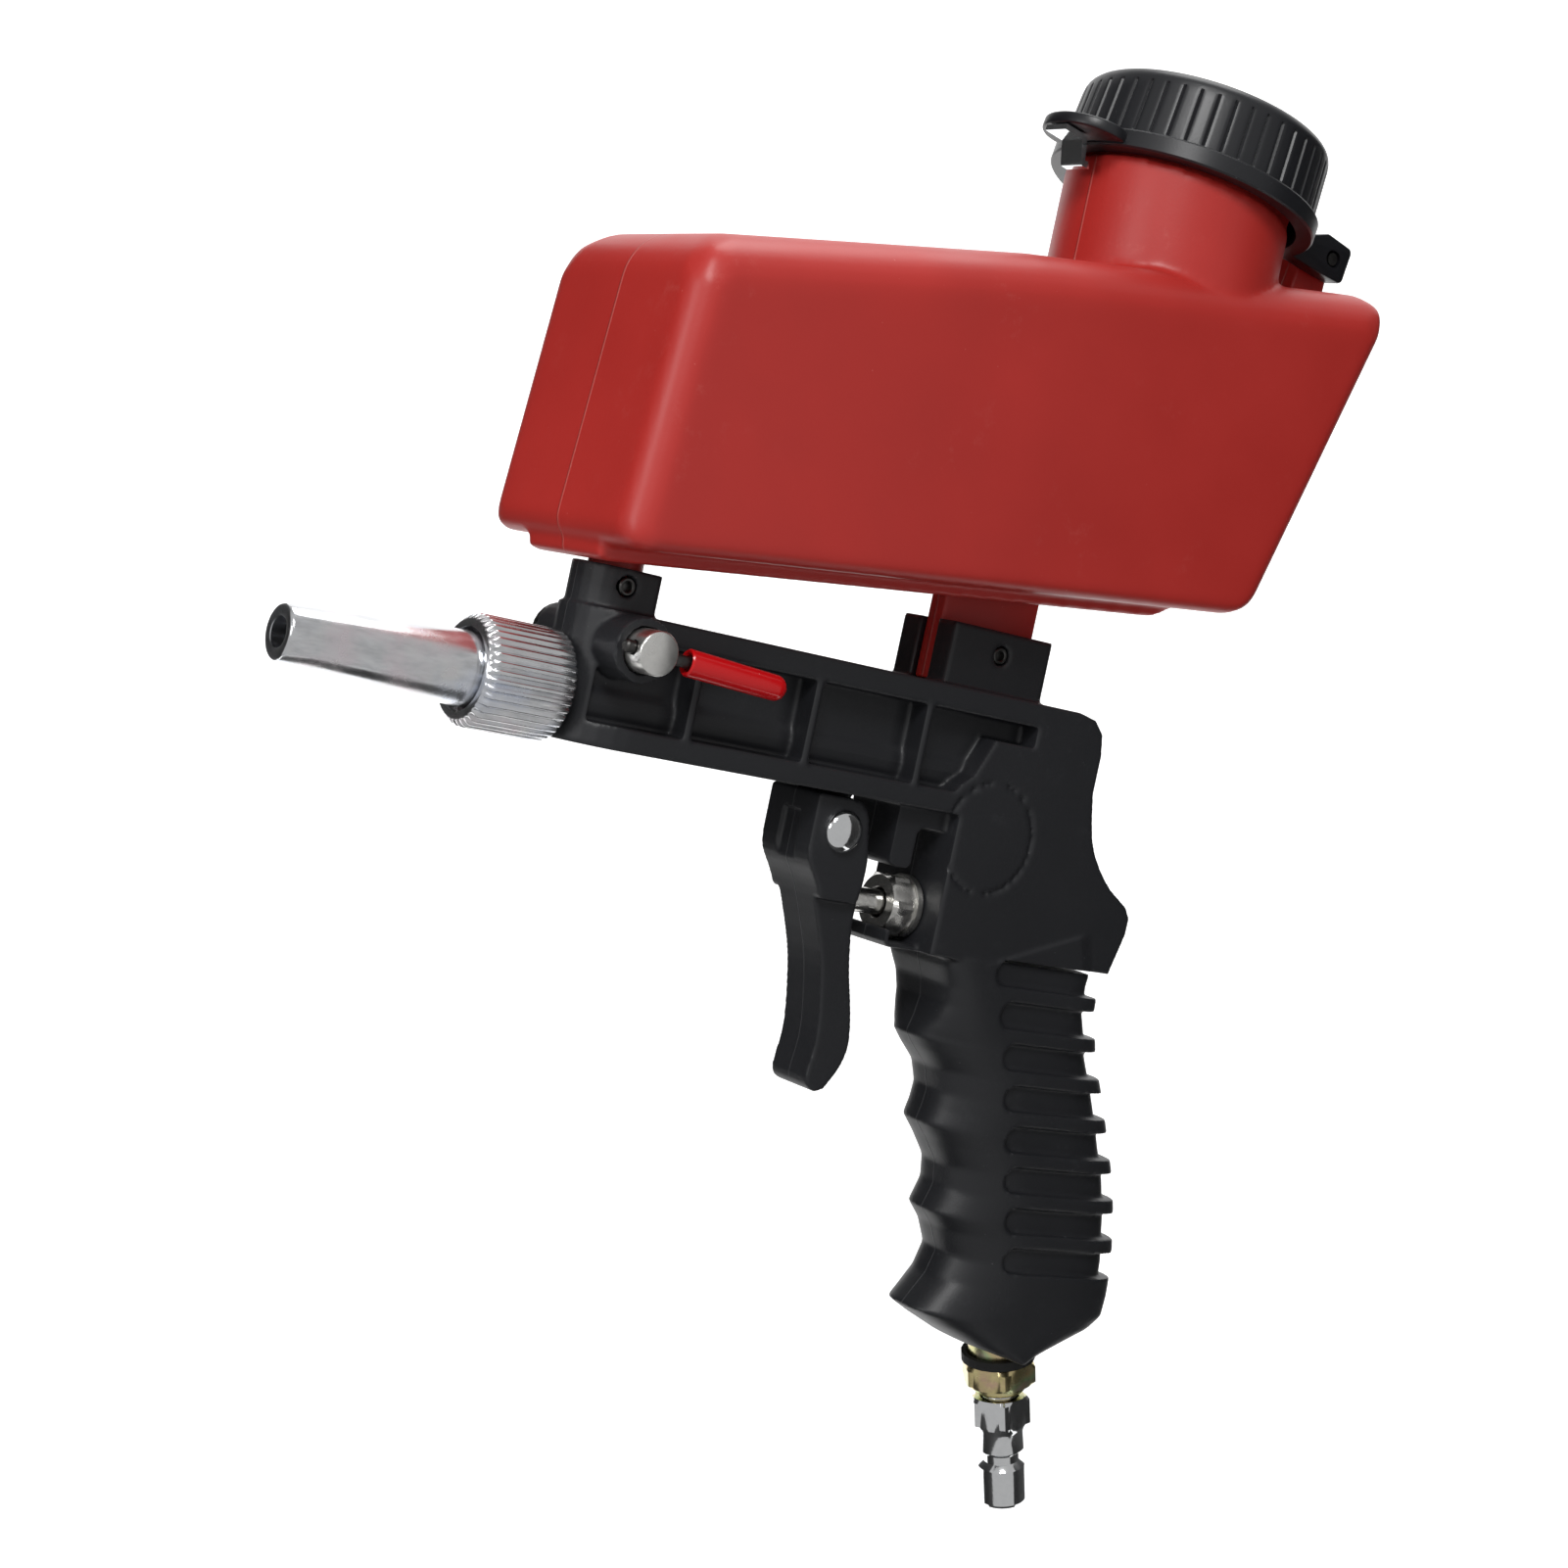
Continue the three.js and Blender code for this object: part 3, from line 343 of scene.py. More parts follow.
def moulded(name, colour, pale, rough, grain=1500, grain_depth=0.06, scuffs=0.35, seam=None):
    """Moulded plastic: fine grain, cloudy tone, pale rubs and dust, and a parting line whose ridge
    also gets a painted highlight.
    """
    material, nodes, links, shader = new_material(name)
    place = object_position(nodes)
    cloud = noise(nodes, links, place, 22, 3)
    tone = ramp(nodes, links, cloud, [(0.3, tuple(c * 0.88 for c in colour)), (0.7, colour)])
    rub = noise(nodes, links, place, 160, 8, 0.75)
    patch = noise(nodes, links, place, 38, 2)
    rub_mask = span(nodes, links, rub, 0.56, 0.74, 0, 1)
    patch_mask = span(nodes, links, patch, 0.5, 0.72, 0, scuffs)
    both = nodes.new("ShaderNodeMath")
    both.operation = "MULTIPLY"
    links.new(rub_mask, both.inputs[0])
    links.new(patch_mask, both.inputs[1])
    tone = mixed(nodes, links, both.outputs[0], tone, pale)
    dust = noise(nodes, links, place, 900, 1)
    dust_mask = span(nodes, links, dust, 0.795, 0.83, 0, 0.5)
    tone = mixed(nodes, links, dust_mask, tone, pale)
    fine = noise(nodes, links, place, grain, 3)
    normal = bump(nodes, links, fine, grain_depth, 0.0004)
    if seam:
        line = seam_mask(nodes, links, place, seam)
        normal = bump(nodes, links, line, 0.9, 0.00025, normal)
        # The parting line is a real ridge, made by the bump; the paler tone along it is a painted
        # highlight for the light that ridge catches.
        painted_seam_highlight = span(nodes, links, line, 0, 1, 0, 0.35)
        tone = mixed(nodes, links, painted_seam_highlight, tone, pale)
    links.new(tone, shader.inputs["Base Color"])
    links.new(span(nodes, links, cloud, 0.3, 0.7, rough - 0.05, rough + 0.06),
              shader.inputs["Roughness"])
    links.new(normal, shader.inputs["Normal"])
    return material


def metal(name, colour, rough, speckle=0.15, grain=500, tint=None, stretch=(1, 1, 1)):
    """Plated or turned metal: cloudy gloss, fine scratches and, where plated, tints."""
    material, nodes, links, shader = new_material(name)
    place = object_position(nodes)
    mapping = nodes.new("ShaderNodeMapping")
    mapping.inputs["Scale"].default_value = stretch
    links.new(place, mapping.inputs["Vector"])
    scratched = noise(nodes, links, mapping.outputs["Vector"], grain, 6, 0.6)
    cloud = noise(nodes, links, place, 120, 4)
    dark = tuple(c * (1 - speckle) for c in colour)
    tone = ramp(nodes, links, scratched, [(0.35, dark), (0.65, colour)])
    if tint:
        hue = noise(nodes, links, place, 70, 2)
        tone = mixed(nodes, links, span(nodes, links, cloud, 0.4, 0.65, 0, 0.75), tone,
                     ramp(nodes, links, hue, tint))
    links.new(tone, shader.inputs["Base Color"])
    shader.inputs["Metallic"].default_value = 1
    links.new(span(nodes, links, cloud, 0.35, 0.65, rough * 0.75, rough * 1.3),
              shader.inputs["Roughness"])
    links.new(bump(nodes, links, scratched, 0.12, 0.0002), shader.inputs["Normal"])
    return material


def make_materials():
    pale_grey = (0.10, 0.103, 0.11)
    return {
        "red_plastic": moulded("red_plastic", (0.50, 0.028, 0.022), (0.66, 0.20, 0.17), 0.40,
                               1100, 0.05, 0.22, 0.00035),
        "black_plastic": moulded("black_plastic", (0.0125, 0.0132, 0.0158), pale_grey, 0.47, 1800,
                                 0.10, 0.30, 0.0002),
        "lid_plastic": moulded("lid_plastic", (0.0095, 0.0100, 0.0125), pale_grey, 0.34, 2200, 0.05,
                               0.12),
        "red_vinyl": moulded("red_vinyl", (0.62, 0.005, 0.008), (0.8, 0.3, 0.3), 0.16, 700, 0.02,
                             0.02),
        "rubber": moulded("rubber", (0.012, 0.012, 0.012), (0.05, 0.05, 0.05), 0.75, 1500, 0.1,
                          0.1),
        "nozzle_metal": metal("nozzle_metal", (0.84, 0.85, 0.87), 0.22, 0.22, 600,
                              [(0.4, (0.78, 0.82, 0.92)), (0.5, (0.86, 0.86, 0.86)),
                               (0.6, (0.88, 0.78, 0.82))], (0.25, 1, 1)),
        "steel": metal("steel", (0.70, 0.69, 0.66), 0.24, 0.25, 700),
        "bright_steel": metal("bright_steel", (0.86, 0.85, 0.82), 0.30, 0.10, 500),
        "dark_steel": metal("dark_steel", (0.10, 0.098, 0.095), 0.35, 0.3, 700),
        "chrome": metal("chrome", (0.86, 0.87, 0.88), 0.09, 0.05, 500),
        "yellow_zinc": metal("yellow_zinc", (0.80, 0.68, 0.34), 0.24, 0.2, 500,
                             [(0.38, (0.80, 0.42, 0.46)), (0.47, (0.85, 0.72, 0.38)),
                              (0.55, (0.55, 0.78, 0.45)), (0.63, (0.85, 0.60, 0.62))]),
        "brass": metal("brass", (0.72, 0.52, 0.24), 0.25, 0.2, 500),
    }


# ---- Hopper ----

HOPPER_CORNERS = [(-124.6, 30.6), (52.4, 49.4), (80.0, 133.6), (-31.0, 115.8), (-119.8, 97.2)]
HOPPER_HALF = 30
KEEL_HALF = 15
KEEL_END = 38
HOPPER_WALL = 2.4
TOP_EDGE = 11
EDGE_SHARE = {"top": 1.0, "front": 0.62, "bottom": 0.3, "back": 0.5}
CORNER_SHARE = [0.55, 0.75, 0.8, 0.0, 0.85]
GASKET_THICK = 1.4 * MM
GASKET_HEIGHT = 13 * MM


def inset(corners, depth):
    """The same convex corners, each moved in by a depth."""
    moved = []
    for i, corner in enumerate(corners):
        point = Vector(corner)
        back = (Vector(corners[i - 1]) - point).normalized()
        ahead = (Vector(corners[(i + 1) % len(corners)]) - point).normalized()
        half = back.angle(ahead) / 2
        if half > math.radians(85):
            inward = Vector((ahead.y, -ahead.x)) * -depth
            if inward.dot(back + ahead) < 0:
                inward = -inward
        else:
            inward = (back + ahead).normalized() * depth / math.sin(half)
        moved.append(tuple(point + inward))
    return moved


def hopper_box(name, depth):
    """The hopper's main form, each edge rounded by its own share of the top edge's radius."""
    corners = inset(HOPPER_CORNERS, depth) if depth else HOPPER_CORNERS
    half = (HOPPER_HALF - depth) * MM
    piece = prism(name, [(x * MM, z * MM) for x, z in corners], -half, half)
    sides = ["bottom", "back", "top", "top", "front"]
    form = bmesh.new()
    form.from_mesh(piece.data)
    weight = form.edges.layers.float.new("bevel_weight_edge")
    for edge in form.edges:
        ends = [(v.co.x / MM, v.co.z / MM) for v in edge.verts]
        places = [min(range(len(corners)), key=lambda i: math.dist(corners[i], end))
                  for end in ends]
        if places[0] == places[1]:
            edge[weight] = CORNER_SHARE[places[0]]
        else:
            first = min(places) if abs(places[0] - places[1]) == 1 else max(places)
            edge[weight] = EDGE_SHARE[sides[first]]
    form.to_mesh(piece.data)
    form.free()
    step = piece.modifiers.new("bevel", "BEVEL")
    step.width = (TOP_EDGE - depth) * MM
    step.segments = 8
    step.limit_method = "WEIGHT"
    return apply_modifiers(piece)


def lid_place():
    """The centre of the flange's underside, and the lid's axis."""
    gasket_low, gasket_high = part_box("lid_gasket")
    wide = gasket_high.x - gasket_low.x
    tall = gasket_high.z - gasket_low.z
    tilt = math.asin((tall - GASKET_THICK) / wide)
    axis = Vector((math.sin(tilt), 0, math.cos(tilt)))
    centre = (gasket_low + gasket_high) / 2 - axis * GASKET_HEIGHT
    return Vector((centre.x, 0, centre.z)), axis


LID_CENTRE, LID_AXIS = lid_place()
HINGE = middle("lid_hinge_pin")


def make_hopper(materials):
    piece = hopper_box("hopper_shell", 0)
    slope = [(HOPPER_CORNERS[0][0] + 3, HOPPER_CORNERS[0][1] + 6), (-121.4, 28.2), (-118, 28.0),
             (34, 44.6), (KEEL_END, 46.4), (KEEL_END + 2, 50)]
    keel = prism("keel", rounded([(x, z, 1.2) for x, z in slope]), -KEEL_HALF * MM,
                 KEEL_HALF * MM)
    neck = cylinder("neck", (27 * MM, 0, 0), Z_AXIS, 27.6 * MM, 105 * MM, 160 * MM, 96)
    above = block("above", (-0.06, -0.06, 0), (0.06, 0.06, 0.06))
    turn = LID_AXIS.to_track_quat("Z", "Y").to_matrix().to_4x4()
    above.data.transform(Matrix.Translation(LID_CENTRE - LID_AXIS * 0.3 * MM) @ turn)
    cut(neck, [above])
    rim = cylinder("rim", LID_CENTRE, LID_AXIS, 26 * MM, -8 * MM, 12 * MM, 96)
    joined(piece, [keel, neck, rim])
    inside = hopper_box("inside", HOPPER_WALL)
    mouth = cylinder("mouth", LID_CENTRE, LID_AXIS, 23.5 * MM, -30 * MM, 14 * MM, 96)
    cut(piece, [inside, mouth])
    softened(piece, 0.85 * MM, 7)
    gasket = middle("feed_gasket")
    leg = cylinder("leg", (gasket.x, 0, 0), Z_AXIS, 6 * MM, high("feed_gasket").z + 0.3 * MM,
                   36 * MM, 64)
    bore = cylinder("bore", (gasket.x, 0, 0), Z_AXIS, 4 * MM, 0, 40 * MM, 48)
    rear = prism("rear", rounded([(-19.2, 18.9, 0.5), (9.2, 18.9, 0.5), (9.2, 45, 0),
                                  (-19.2, 41, 0)]), -2.7 * MM, 2.7 * MM)
    lug = prism("lug", rounded([(66, 128, 0), (78, 129, 0), (78.9, 146.6, 5), (69.1, 146.6, 5)]),
                -3.4 * MM, 3.4 * MM)
    pin = cylinder("pin", HINGE, Y_AXIS, 1.9 * MM, -9 * MM, 9 * MM, 32)
    screw = cylinder("screw", middle("rear_leg_screw"), Y_AXIS, 2.3 * MM, -9 * MM, 9 * MM, 32)
    bevelled(rear, 0.5 * MM, 2)
    bevelled(lug, 0.8 * MM, 3)
    joined(piece, [leg, rear, lug])
    cut(piece, [bore, pin, screw])
    smooth(piece, 50)
    return finish_piece(piece, "gun", ["hopper"], materials["red_plastic"])


# ---- Lid ----

LID_RIBS = 46
RIB_GROOVE = 0.55 * MM


def rib_grooves(angle, along, radius):
    if not 4.9 * MM < along < 17.9 * MM or radius < 30 * MM:
        return radius
    place = (angle * LID_RIBS / (2 * math.pi)) % 1
    from_groove = min(place, 1 - place)
    return radius - RIB_GROOVE * max(0, 1 - (from_groove / 0.11) ** 2)


def make_lid(materials):
    rows = [(0, 28.8), (0, 32.6), (0.4, 33), (4.0, 33), (4.5, 32.5), (4.7, 31.5), (5.2, 31.5)]
    rows += [(5.2 + 12.3 * k / 6, 31.5 - 0.1 * k) for k in range(1, 7)]
    dome = [(17.9 + 3.4 * math.sin(a), 27.4 + 3.4 * math.cos(a))
            for a in np.linspace(0, math.pi / 2, 8)]
    rows += dome
    rows += [(21.3 + 2.2 * (1 - (r / 27.4) ** 2), r) for r in (24, 19, 13, 6, 0)]
    inner = [(17.6, 0), (17.6, 22), (14, 22.4), (14, 28.4), (0.6, 28.8)]
    profile = [(a * MM, r * MM) for a, r in rows + inner]
    piece = spun("lid_moulding", LID_CENTRE, LID_AXIS, profile, LID_RIBS * 10, rib_grooves)
    side = Vector((LID_AXIS.z, 0, -LID_AXIS.x))
    tab = thumb_tab(side)
    to_hinge = HINGE - LID_CENTRE
    along, up = to_hinge.dot(side) / MM, to_hinge.dot(LID_AXIS) / MM
    arms = []
    for sign in (-1, 1):
        near, far = sorted((sign * 3.9 * MM, sign * 8.8 * MM))
        outline = [(30.5, 0.3, 0.5), (along - 2, up - 5.0, 1), (along + 5.2, up - 4.6, 1.5),
                   (along + 5.2, up + 4.6, 1.5), (along - 4, up + 5.0, 1), (30.5, 5.2, 0.5)]
        arm = prism("arm", rounded(outline), near, far)
        arm.data.transform(lid_matrix(side))
        bevelled(arm, 0.5 * MM, 2)
        arms.append(arm)
    hole = rounded([(along - 2.6, up - 2.0, 1.9), (along + 2.2, up - 2.0, 1.9),
                    (along + 2.2, up + 2.0, 1.9), (along - 2.6, up + 2.0, 1.9)])
    slot = prism("slot", hole, -12 * MM, 12 * MM)
    slot.data.transform(lid_matrix(side))
    joined(piece, [tab, *arms])
    cut(piece, [slot])
    smooth(piece, 32)
    return finish_piece(piece, "lid", ["lid_cap"], materials["lid_plastic"])


def lid_matrix(side):
    turn = Matrix((side, Y_AXIS, LID_AXIS)).transposed().to_4x4()
    return Matrix.Translation(LID_CENTRE) @ turn


def thumb_tab(side):
    """The flat tab that a thumb lifts the lid by."""
    steps = 40
    outline = []
    for step in range(steps):
        angle = 2 * math.pi * step / steps
        outline.append(((-34 + 9.6 * math.cos(angle)) * MM, 11.5 * MM * math.sin(angle)))
    verts = [(x, y, 0.7 * MM) for x, y in outline] + [(x, y, 3.5 * MM) for x, y in outline]
    faces = [tuple(range(steps)), tuple(reversed(range(steps, 2 * steps)))]
    faces += [(i, (i + 1) % steps, steps + (i + 1) % steps, steps + i) for i in range(steps)]
    tab = mesh_object("tab", verts, faces)
    tab.data.transform(lid_matrix(side))
    inner = cylinder("tab_inner", LID_CENTRE, LID_AXIS, 30 * MM, -1 * MM, 5 * MM, 64)
    cut(tab, [inner])
    return bevelled(tab, 0.6 * MM, 3)


# ---- Barrel ----

def make_nozzle(materials):
    tip = low("nozzle").x
    back = high("nozzle").x
    bore = 3.2 * MM
    points = [(0.2, 3.3), (0, 3.7), (0, 5.2), (0.25, 5.65), (0.8, 5.93)]
    points += [(0.8 + 42 * k / 8, 5.93 + 2.17 * k / 8) for k in range(1, 9)]
    profile = [(a * MM, r * MM) for a, r in points]
    rear = back - tip
    profile += [(rear - 3.1 * MM, 8.1 * MM), (rear - 2.8 * MM, 8.4 * MM),
                (rear - 2.8 * MM, 9 * MM), (rear, 9 * MM), (rear, bore + 1 * MM),
                (30 * MM, bore)]
    piece = spun("nozzle_turned", (tip, 0, 0), X_AXIS, profile, 128)
    return finish_piece(piece, "gun", ["nozzle"], materials["nozzle_metal"])


NUT_TEETH = 40


def knurl(angle, along, radius):
    if radius < 11.3 * MM:
        return radius
    place = (angle * NUT_TEETH / (2 * math.pi)) % 1
    return radius - 0.62 * MM * (0.5 + 0.5 * math.cos(2 * math.pi * place)) ** 1.6


def make_nut(materials):
    front, back = low("nozzle_nut").x, high("nozzle_nut").x
    deep = (back - front) / MM
    outer = [(0.5, 8.7), (0, 9.0), (0, 10.4), (0.3, 10.8), (0.9, 11.4), (1.7, 12.0), (2.2, 12.1)]
    outer += [(2.2 + (deep - 3) * k / 5, 12.1) for k in range(1, 6)]
    outer += [(deep - 0.4, 11.9), (deep, 11.4), (deep, 9.4), (3, 9.4), (3, 8.7)]
    profile = [(a * MM, r * MM) for a, r in outer]
    piece = spun("nozzle_nut_knurled", (front, 0, 0), X_AXIS, profile, NUT_TEETH * 10, knurl)
    smooth(piece, 50)
    return finish_piece(piece, "gun", ["nozzle_nut"], materials["nozzle_metal"])


# ---- Moulded body ----

FRONT_LINE = [(-42, -3.6), (-46, -2.6), (-50.5, -0.2), (-54.8, 0.5), (-59.5, -0.2), (-63.7, -1.4),
              (-66.8, 1.6), (-70.9, 6.3), (-76.3, 8.6), (-80.5, 8.2), (-84.4, 7.2), (-88.5, 11.3),
              (-93.9, 15.9), (-99.5, 16.9), (-105.5, 14.7), (-109.5, 18.8), (-115.5, 22.2),
              (-121.5, 20.4), (-129.5, 14.8), (-132.4, 21), (-137, 32.2), (-139.8, 45)]
BACK_LINE = [(-42, 46.5), (-46, 46.2), (-52.4, 47.2), (-62.6, 52.7), (-73, 58.1), (-83, 63),
             (-93.2, 67.6), (-103.3, 70.9), (-113.5, 73.1), (-122.2, 73.8), (-127.4, 73.6),
             (-130.6, 69.8), (-134.6, 60.1), (-139.8, 47)]
GRIP_TOP = -43
GRIP_BOTTOM = -139.8
GRIP_HALF = 13.9
GRIP_EASE = 20
GRIP_STEP = 0.8
SQUARE = 9
FRONT_SHAPE = 2.7
BACK_SHAPE = 4.2
SLOT_COUNT = 8
SLOT_TOP = -42
SLOT_PITCH = 9.86
SLOT_HEIGHT = 6.4
SLOT_DEPTH = 1.7


def grip(name, depth):
    """The handle: a section of front and back half ovals at each height, moved in by a depth."""
    heights = np.arange(GRIP_TOP, GRIP_BOTTOM + depth * 3, -GRIP_STEP)
    front_z, front_x = np.array(FRONT_LINE).T
    back_z, back_x = np.array(BACK_LINE).T
    around = 72
    verts, faces = [], []
    for z in heights:
        front = np.interp(-z, -front_z, front_x) + depth
        back = np.interp(-z, -back_z, back_x) - depth * 1.7
        centre = front + (back - front) * 0.5
        half = GRIP_HALF - depth
        ease = min(1, (GRIP_TOP - z) / GRIP_EASE)
        for step in range(around):
            angle = 2 * math.pi * step / around
            c, s = math.cos(angle), math.sin(angle)
            shape = FRONT_SHAPE if c < 0 else BACK_SHAPE
            power = 2 / (SQUARE + (shape - SQUARE) * ease)
            reach = (back - front) / 2
            x = centre + reach * math.copysign(abs(c) ** power, c)
            y = half * math.copysign(abs(s) ** power, s)
            verts.append((x * MM, y * MM, z * MM))
    rows = len(heights)
    for row in range(rows - 1):
        for step in range(around):
            turn = (step + 1) % around
            faces.append((row * around + step, row * around + turn, (row + 1) * around + turn,
                          (row + 1) * around + step))
    faces.append(tuple(reversed(range(around))))
    faces.append(tuple(range((rows - 1) * around, rows * around)))
    return mesh_object(name, verts, faces)


def grip_slots():
    """Recesses between the ribs on the back of the grip."""
    slots = []
    for k in range(SLOT_COUNT):
        top = SLOT_TOP - SLOT_PITCH * k
        bottom = top - SLOT_HEIGHT
        start = 11 + 4.1 * k - 0.13 * k * k
        outline = rounded([(start, bottom, 3), (90, bottom, 0), (90, top, 0), (start, top, 3)])
        slots.append(prism("slot", outline, -20 * MM, 20 * MM))
    whole = slots[0]
    joined(whole, slots[1:])
    return cut(whole, [grip("core", SLOT_DEPTH)])


def inlet_axis():
    """A point on the air inlet's axis and its direction, up into the grip."""
    top = middle("grip_air_tube")
    bottom = middle("inlet_adapter")
    return bottom, (top - bottom).normalized()


def make_body(materials):
    piece = copy_of("gun_body", "body_moulding")
    below = block("below", (-0.009, -0.03, -0.16), (0.1, 0.03, (GRIP_TOP - 1.0) * MM))
    cut(piece, [below])
    joined(piece, [grip("grip", 0)])
    disc = spun("disc", (0, 0, -14.7 * MM), Y_AXIS,
                [(a * MM, r * MM) for a, r in [(-14.5, 12.5), (-14.5, 13.6), (-12.6, 13.5),
                                               (-12.6, 12.6)]], 96)
    origin, up = inlet_axis()
    tube = cylinder("tube", origin, up, 4.6 * MM, -20 * MM, 105 * MM, 32)
    shank = cylinder("shank", origin, up, 7.9 * MM, -20 * MM, 22 * MM, 48)
    cut(piece, [tube, shank, disc, grip_slots()])
    softened(piece, 0.5 * MM, 3)
    return finish_piece(piece, "gun", ["gun_body"], materials["black_plastic"])


# ---- Trigger and valve ----

def make_trigger(materials):
    piece = copy_of("trigger", "trigger_moulding")
    softened(piece, 0.4 * MM, 5)
    return finish_piece(piece, "trigger", ["trigger"],
                        materials["black_plastic"])


def make_rivet(materials):
    near, far = low("trigger_rivet"), high("trigger_rivet")
    centre = middle("trigger_rivet")
    length = far.y - near.y
    dome = [(2.6 * MM * (1 - math.cos(a)), 5 * MM * math.sin(a))
            for a in np.linspace(0, math.pi / 2, 12)]
    profile = dome + [(2.9 * MM, 4.9 * MM), (2.9 * MM, 2.4 * MM), (length - 1.6 * MM, 2.4 * MM),
                      (length - 1.6 * MM, 4 * MM), (length - 0.5 * MM, 4 * MM),
                      (length, 3.2 * MM), (length, 0)]
    piece = spun("rivet_domed", (centre.x, near.y, centre.z), Y_AXIS, profile, 64)
    return finish_piece(piece, "gun", ["trigger_rivet"], materials["chrome"])


def make_gland(materials):
    front, back = low("gland_nut"), high("gland_nut")
    centre = middle("gland_nut")
    length = (back.x - front.x) / MM
    profile = [(0.3, 3.5), (0, 3.8), (0, 6.5), (0.9, 7.8), (5.2, 7.8), (5.9, 6.9), (6.4, 6.9),
               (6.5, 7.5), (7.9, 7.6), (8.0, 6.0), (length, 6.0), (length, 3.3)]
    flats = hexagonal(13.4 * MM)

    def shape(angle, along, radius):
        return flats(angle, along, radius) if along < 6.2 * MM else radius
    piece = spun("gland_nut_turned", (front.x, 0, centre.z), X_AXIS,
                 [(a * MM, r * MM) for a, r in profile], 120, shape)
    smooth(piece, 25)
    return finish_piece(piece, "gun", ["gland_nut"], materials["steel"])


def make_stem(materials):
    front, back = low("valve_stem"), high("valve_stem")
    centre = middle("valve_stem")
    length = (back.x - front.x) / MM
    dome = [(1.6 * (1 - math.cos(a)), 2.98 * math.sin(a)) for a in np.linspace(0, math.pi / 2, 8)]
    profile = dome + [(24.5, 3), (24.6, 1.8), (length, 1.8), (length, 0)]
    piece = spun("valve_stem_turned", (front.x, 0, centre.z), X_AXIS,
                 [(a * MM, r * MM) for a, r in profile], 48)
    return finish_piece(piece, "stem", ["valve_stem"], materials["steel"])


# ---- Sand valve ----

def make_spindle(materials):
    near, far = low("valve_spindle"), high("valve_spindle")
    centre = middle("valve_spindle")
    length = (far.y - near.y) / MM
    profile = [(0, 0), (0, 4.35), (0.15, 4.6), (0.45, 4.8), (7.0, 4.8), (15.6, 4.8), (15.6, 3.6),
               (17.4, 3.6), (17.4, 4.8), (30.6, 4.8), (30.6, 3.6), (32.4, 3.6), (32.4, 4.8),
               (length - 0.4, 4.8), (length, 4.4), (length, 0)]
    piece = spun("spindle_turned", (centre.x, near.y, centre.z), Y_AXIS,
                 [(a * MM, r * MM) for a, r in profile], 96)
    rod = middle("lever_rod")
    tilt = sleeve_axis()
    hole = cylinder("hole", (centre.x, rod.y, centre.z), tilt, 1.65 * MM, -9 * MM, 9 * MM, 32)
    port = cylinder("port", centre, Z_AXIS, 2.3 * MM, -9 * MM, 9 * MM, 32)
    port.data.transform(Matrix.Translation((0, -centre.y, 0)))
    socket = cylinder("socket", (centre.x, 0, centre.z), Y_AXIS, 2 * MM, 10 * MM, far.y + BEYOND)
    cut(piece, [hole, port, socket])
    smooth(piece, 40)
    return finish_piece(piece, "sand_valve", ["valve_spindle"],
                        materials["bright_steel"])


def sleeve_axis():
    """The lever's direction, from the spindle out along the rod."""
    spindle = middle("valve_spindle")
    sleeve = middle("lever_sleeve")
    return Vector((sleeve.x - spindle.x, 0, sleeve.z - spindle.z)).normalized()


def make_rod(materials):
    spindle = middle("valve_spindle")
    rod = middle("lever_rod")
    origin = (spindle.x, rod.y, spindle.z)
    profile = [(-7, 0), (-7, 1.0), (-6.6, 1.35), (32.6, 1.35), (33, 1), (33, 0)]
    piece = spun("lever_rod_drawn", origin, sleeve_axis(),
                 [(a * MM, r * MM) for a, r in profile], 48)
    return finish_piece(piece, "sand_valve", ["lever_rod"],
                        materials["dark_steel"])


def make_sleeve(materials):
    """A dipped sleeve, pressed a little flat, with a rolled open mouth."""
    spindle = middle("valve_spindle")
    rod = middle("lever_rod")
    origin = Vector((spindle.x, rod.y, spindle.z))
    mouth = [(9.6, 1.9), (9.1, 2.3), (9.0, 2.7), (9.4, 3.0), (10.2, 3.02)]
    rows = mouth + [(10.2 + 22.4 * k / 6, 3.02 - 0.03 * k) for k in range(1, 7)]
    rows += [(32.6 + 2.85 * math.sin(a), 2.84 * math.cos(a))
             for a in np.linspace(0.15, math.pi / 2, 9)]
    rows = rows[:-1] + [(35.45, 0), (33.4, 0), (33.4, 1.65)]
    profile = [(a * MM, r * MM) for a, r in rows]
    piece = spun("lever_sleeve_dipped", origin, sleeve_axis(), profile, 64)
    for vertex in piece.data.vertices:
        vertex.co.y = origin.y + (vertex.co.y - origin.y) * 0.86
    return finish_piece(piece, "sand_valve", ["lever_sleeve"],
                        materials["red_vinyl"])


# ---- Air inlet ----

def make_adapter(materials):
    up = inlet_axis()[1]
    place = middle("inlet_adapter")
    profile = [(-13.5, 5), (-13.3, 6.2), (-12.8, 6.6), (-11.2, 6.6), (-11.0, 8.7), (-10.2, 9.75),
               (-6.3, 9.75), (-5.4, 8.6), (-5.2, 7.6), (13.5, 7.6), (13.5, 2.8), (5.9, 2.8),
               (5.9, 5)]
    flats = hexagonal(17 * MM)

    def shape(angle, along, radius):
        return flats(angle, along, radius) if -11.1 * MM < along < -5.3 * MM else radius
    piece = spun("adapter_turned", place, up, [(a * MM, r * MM) for a, r in profile], 120, shape)
    smooth(piece, 25)
    return finish_piece(piece, "gun", ["inlet_adapter"],
                        materials["yellow_zinc"])


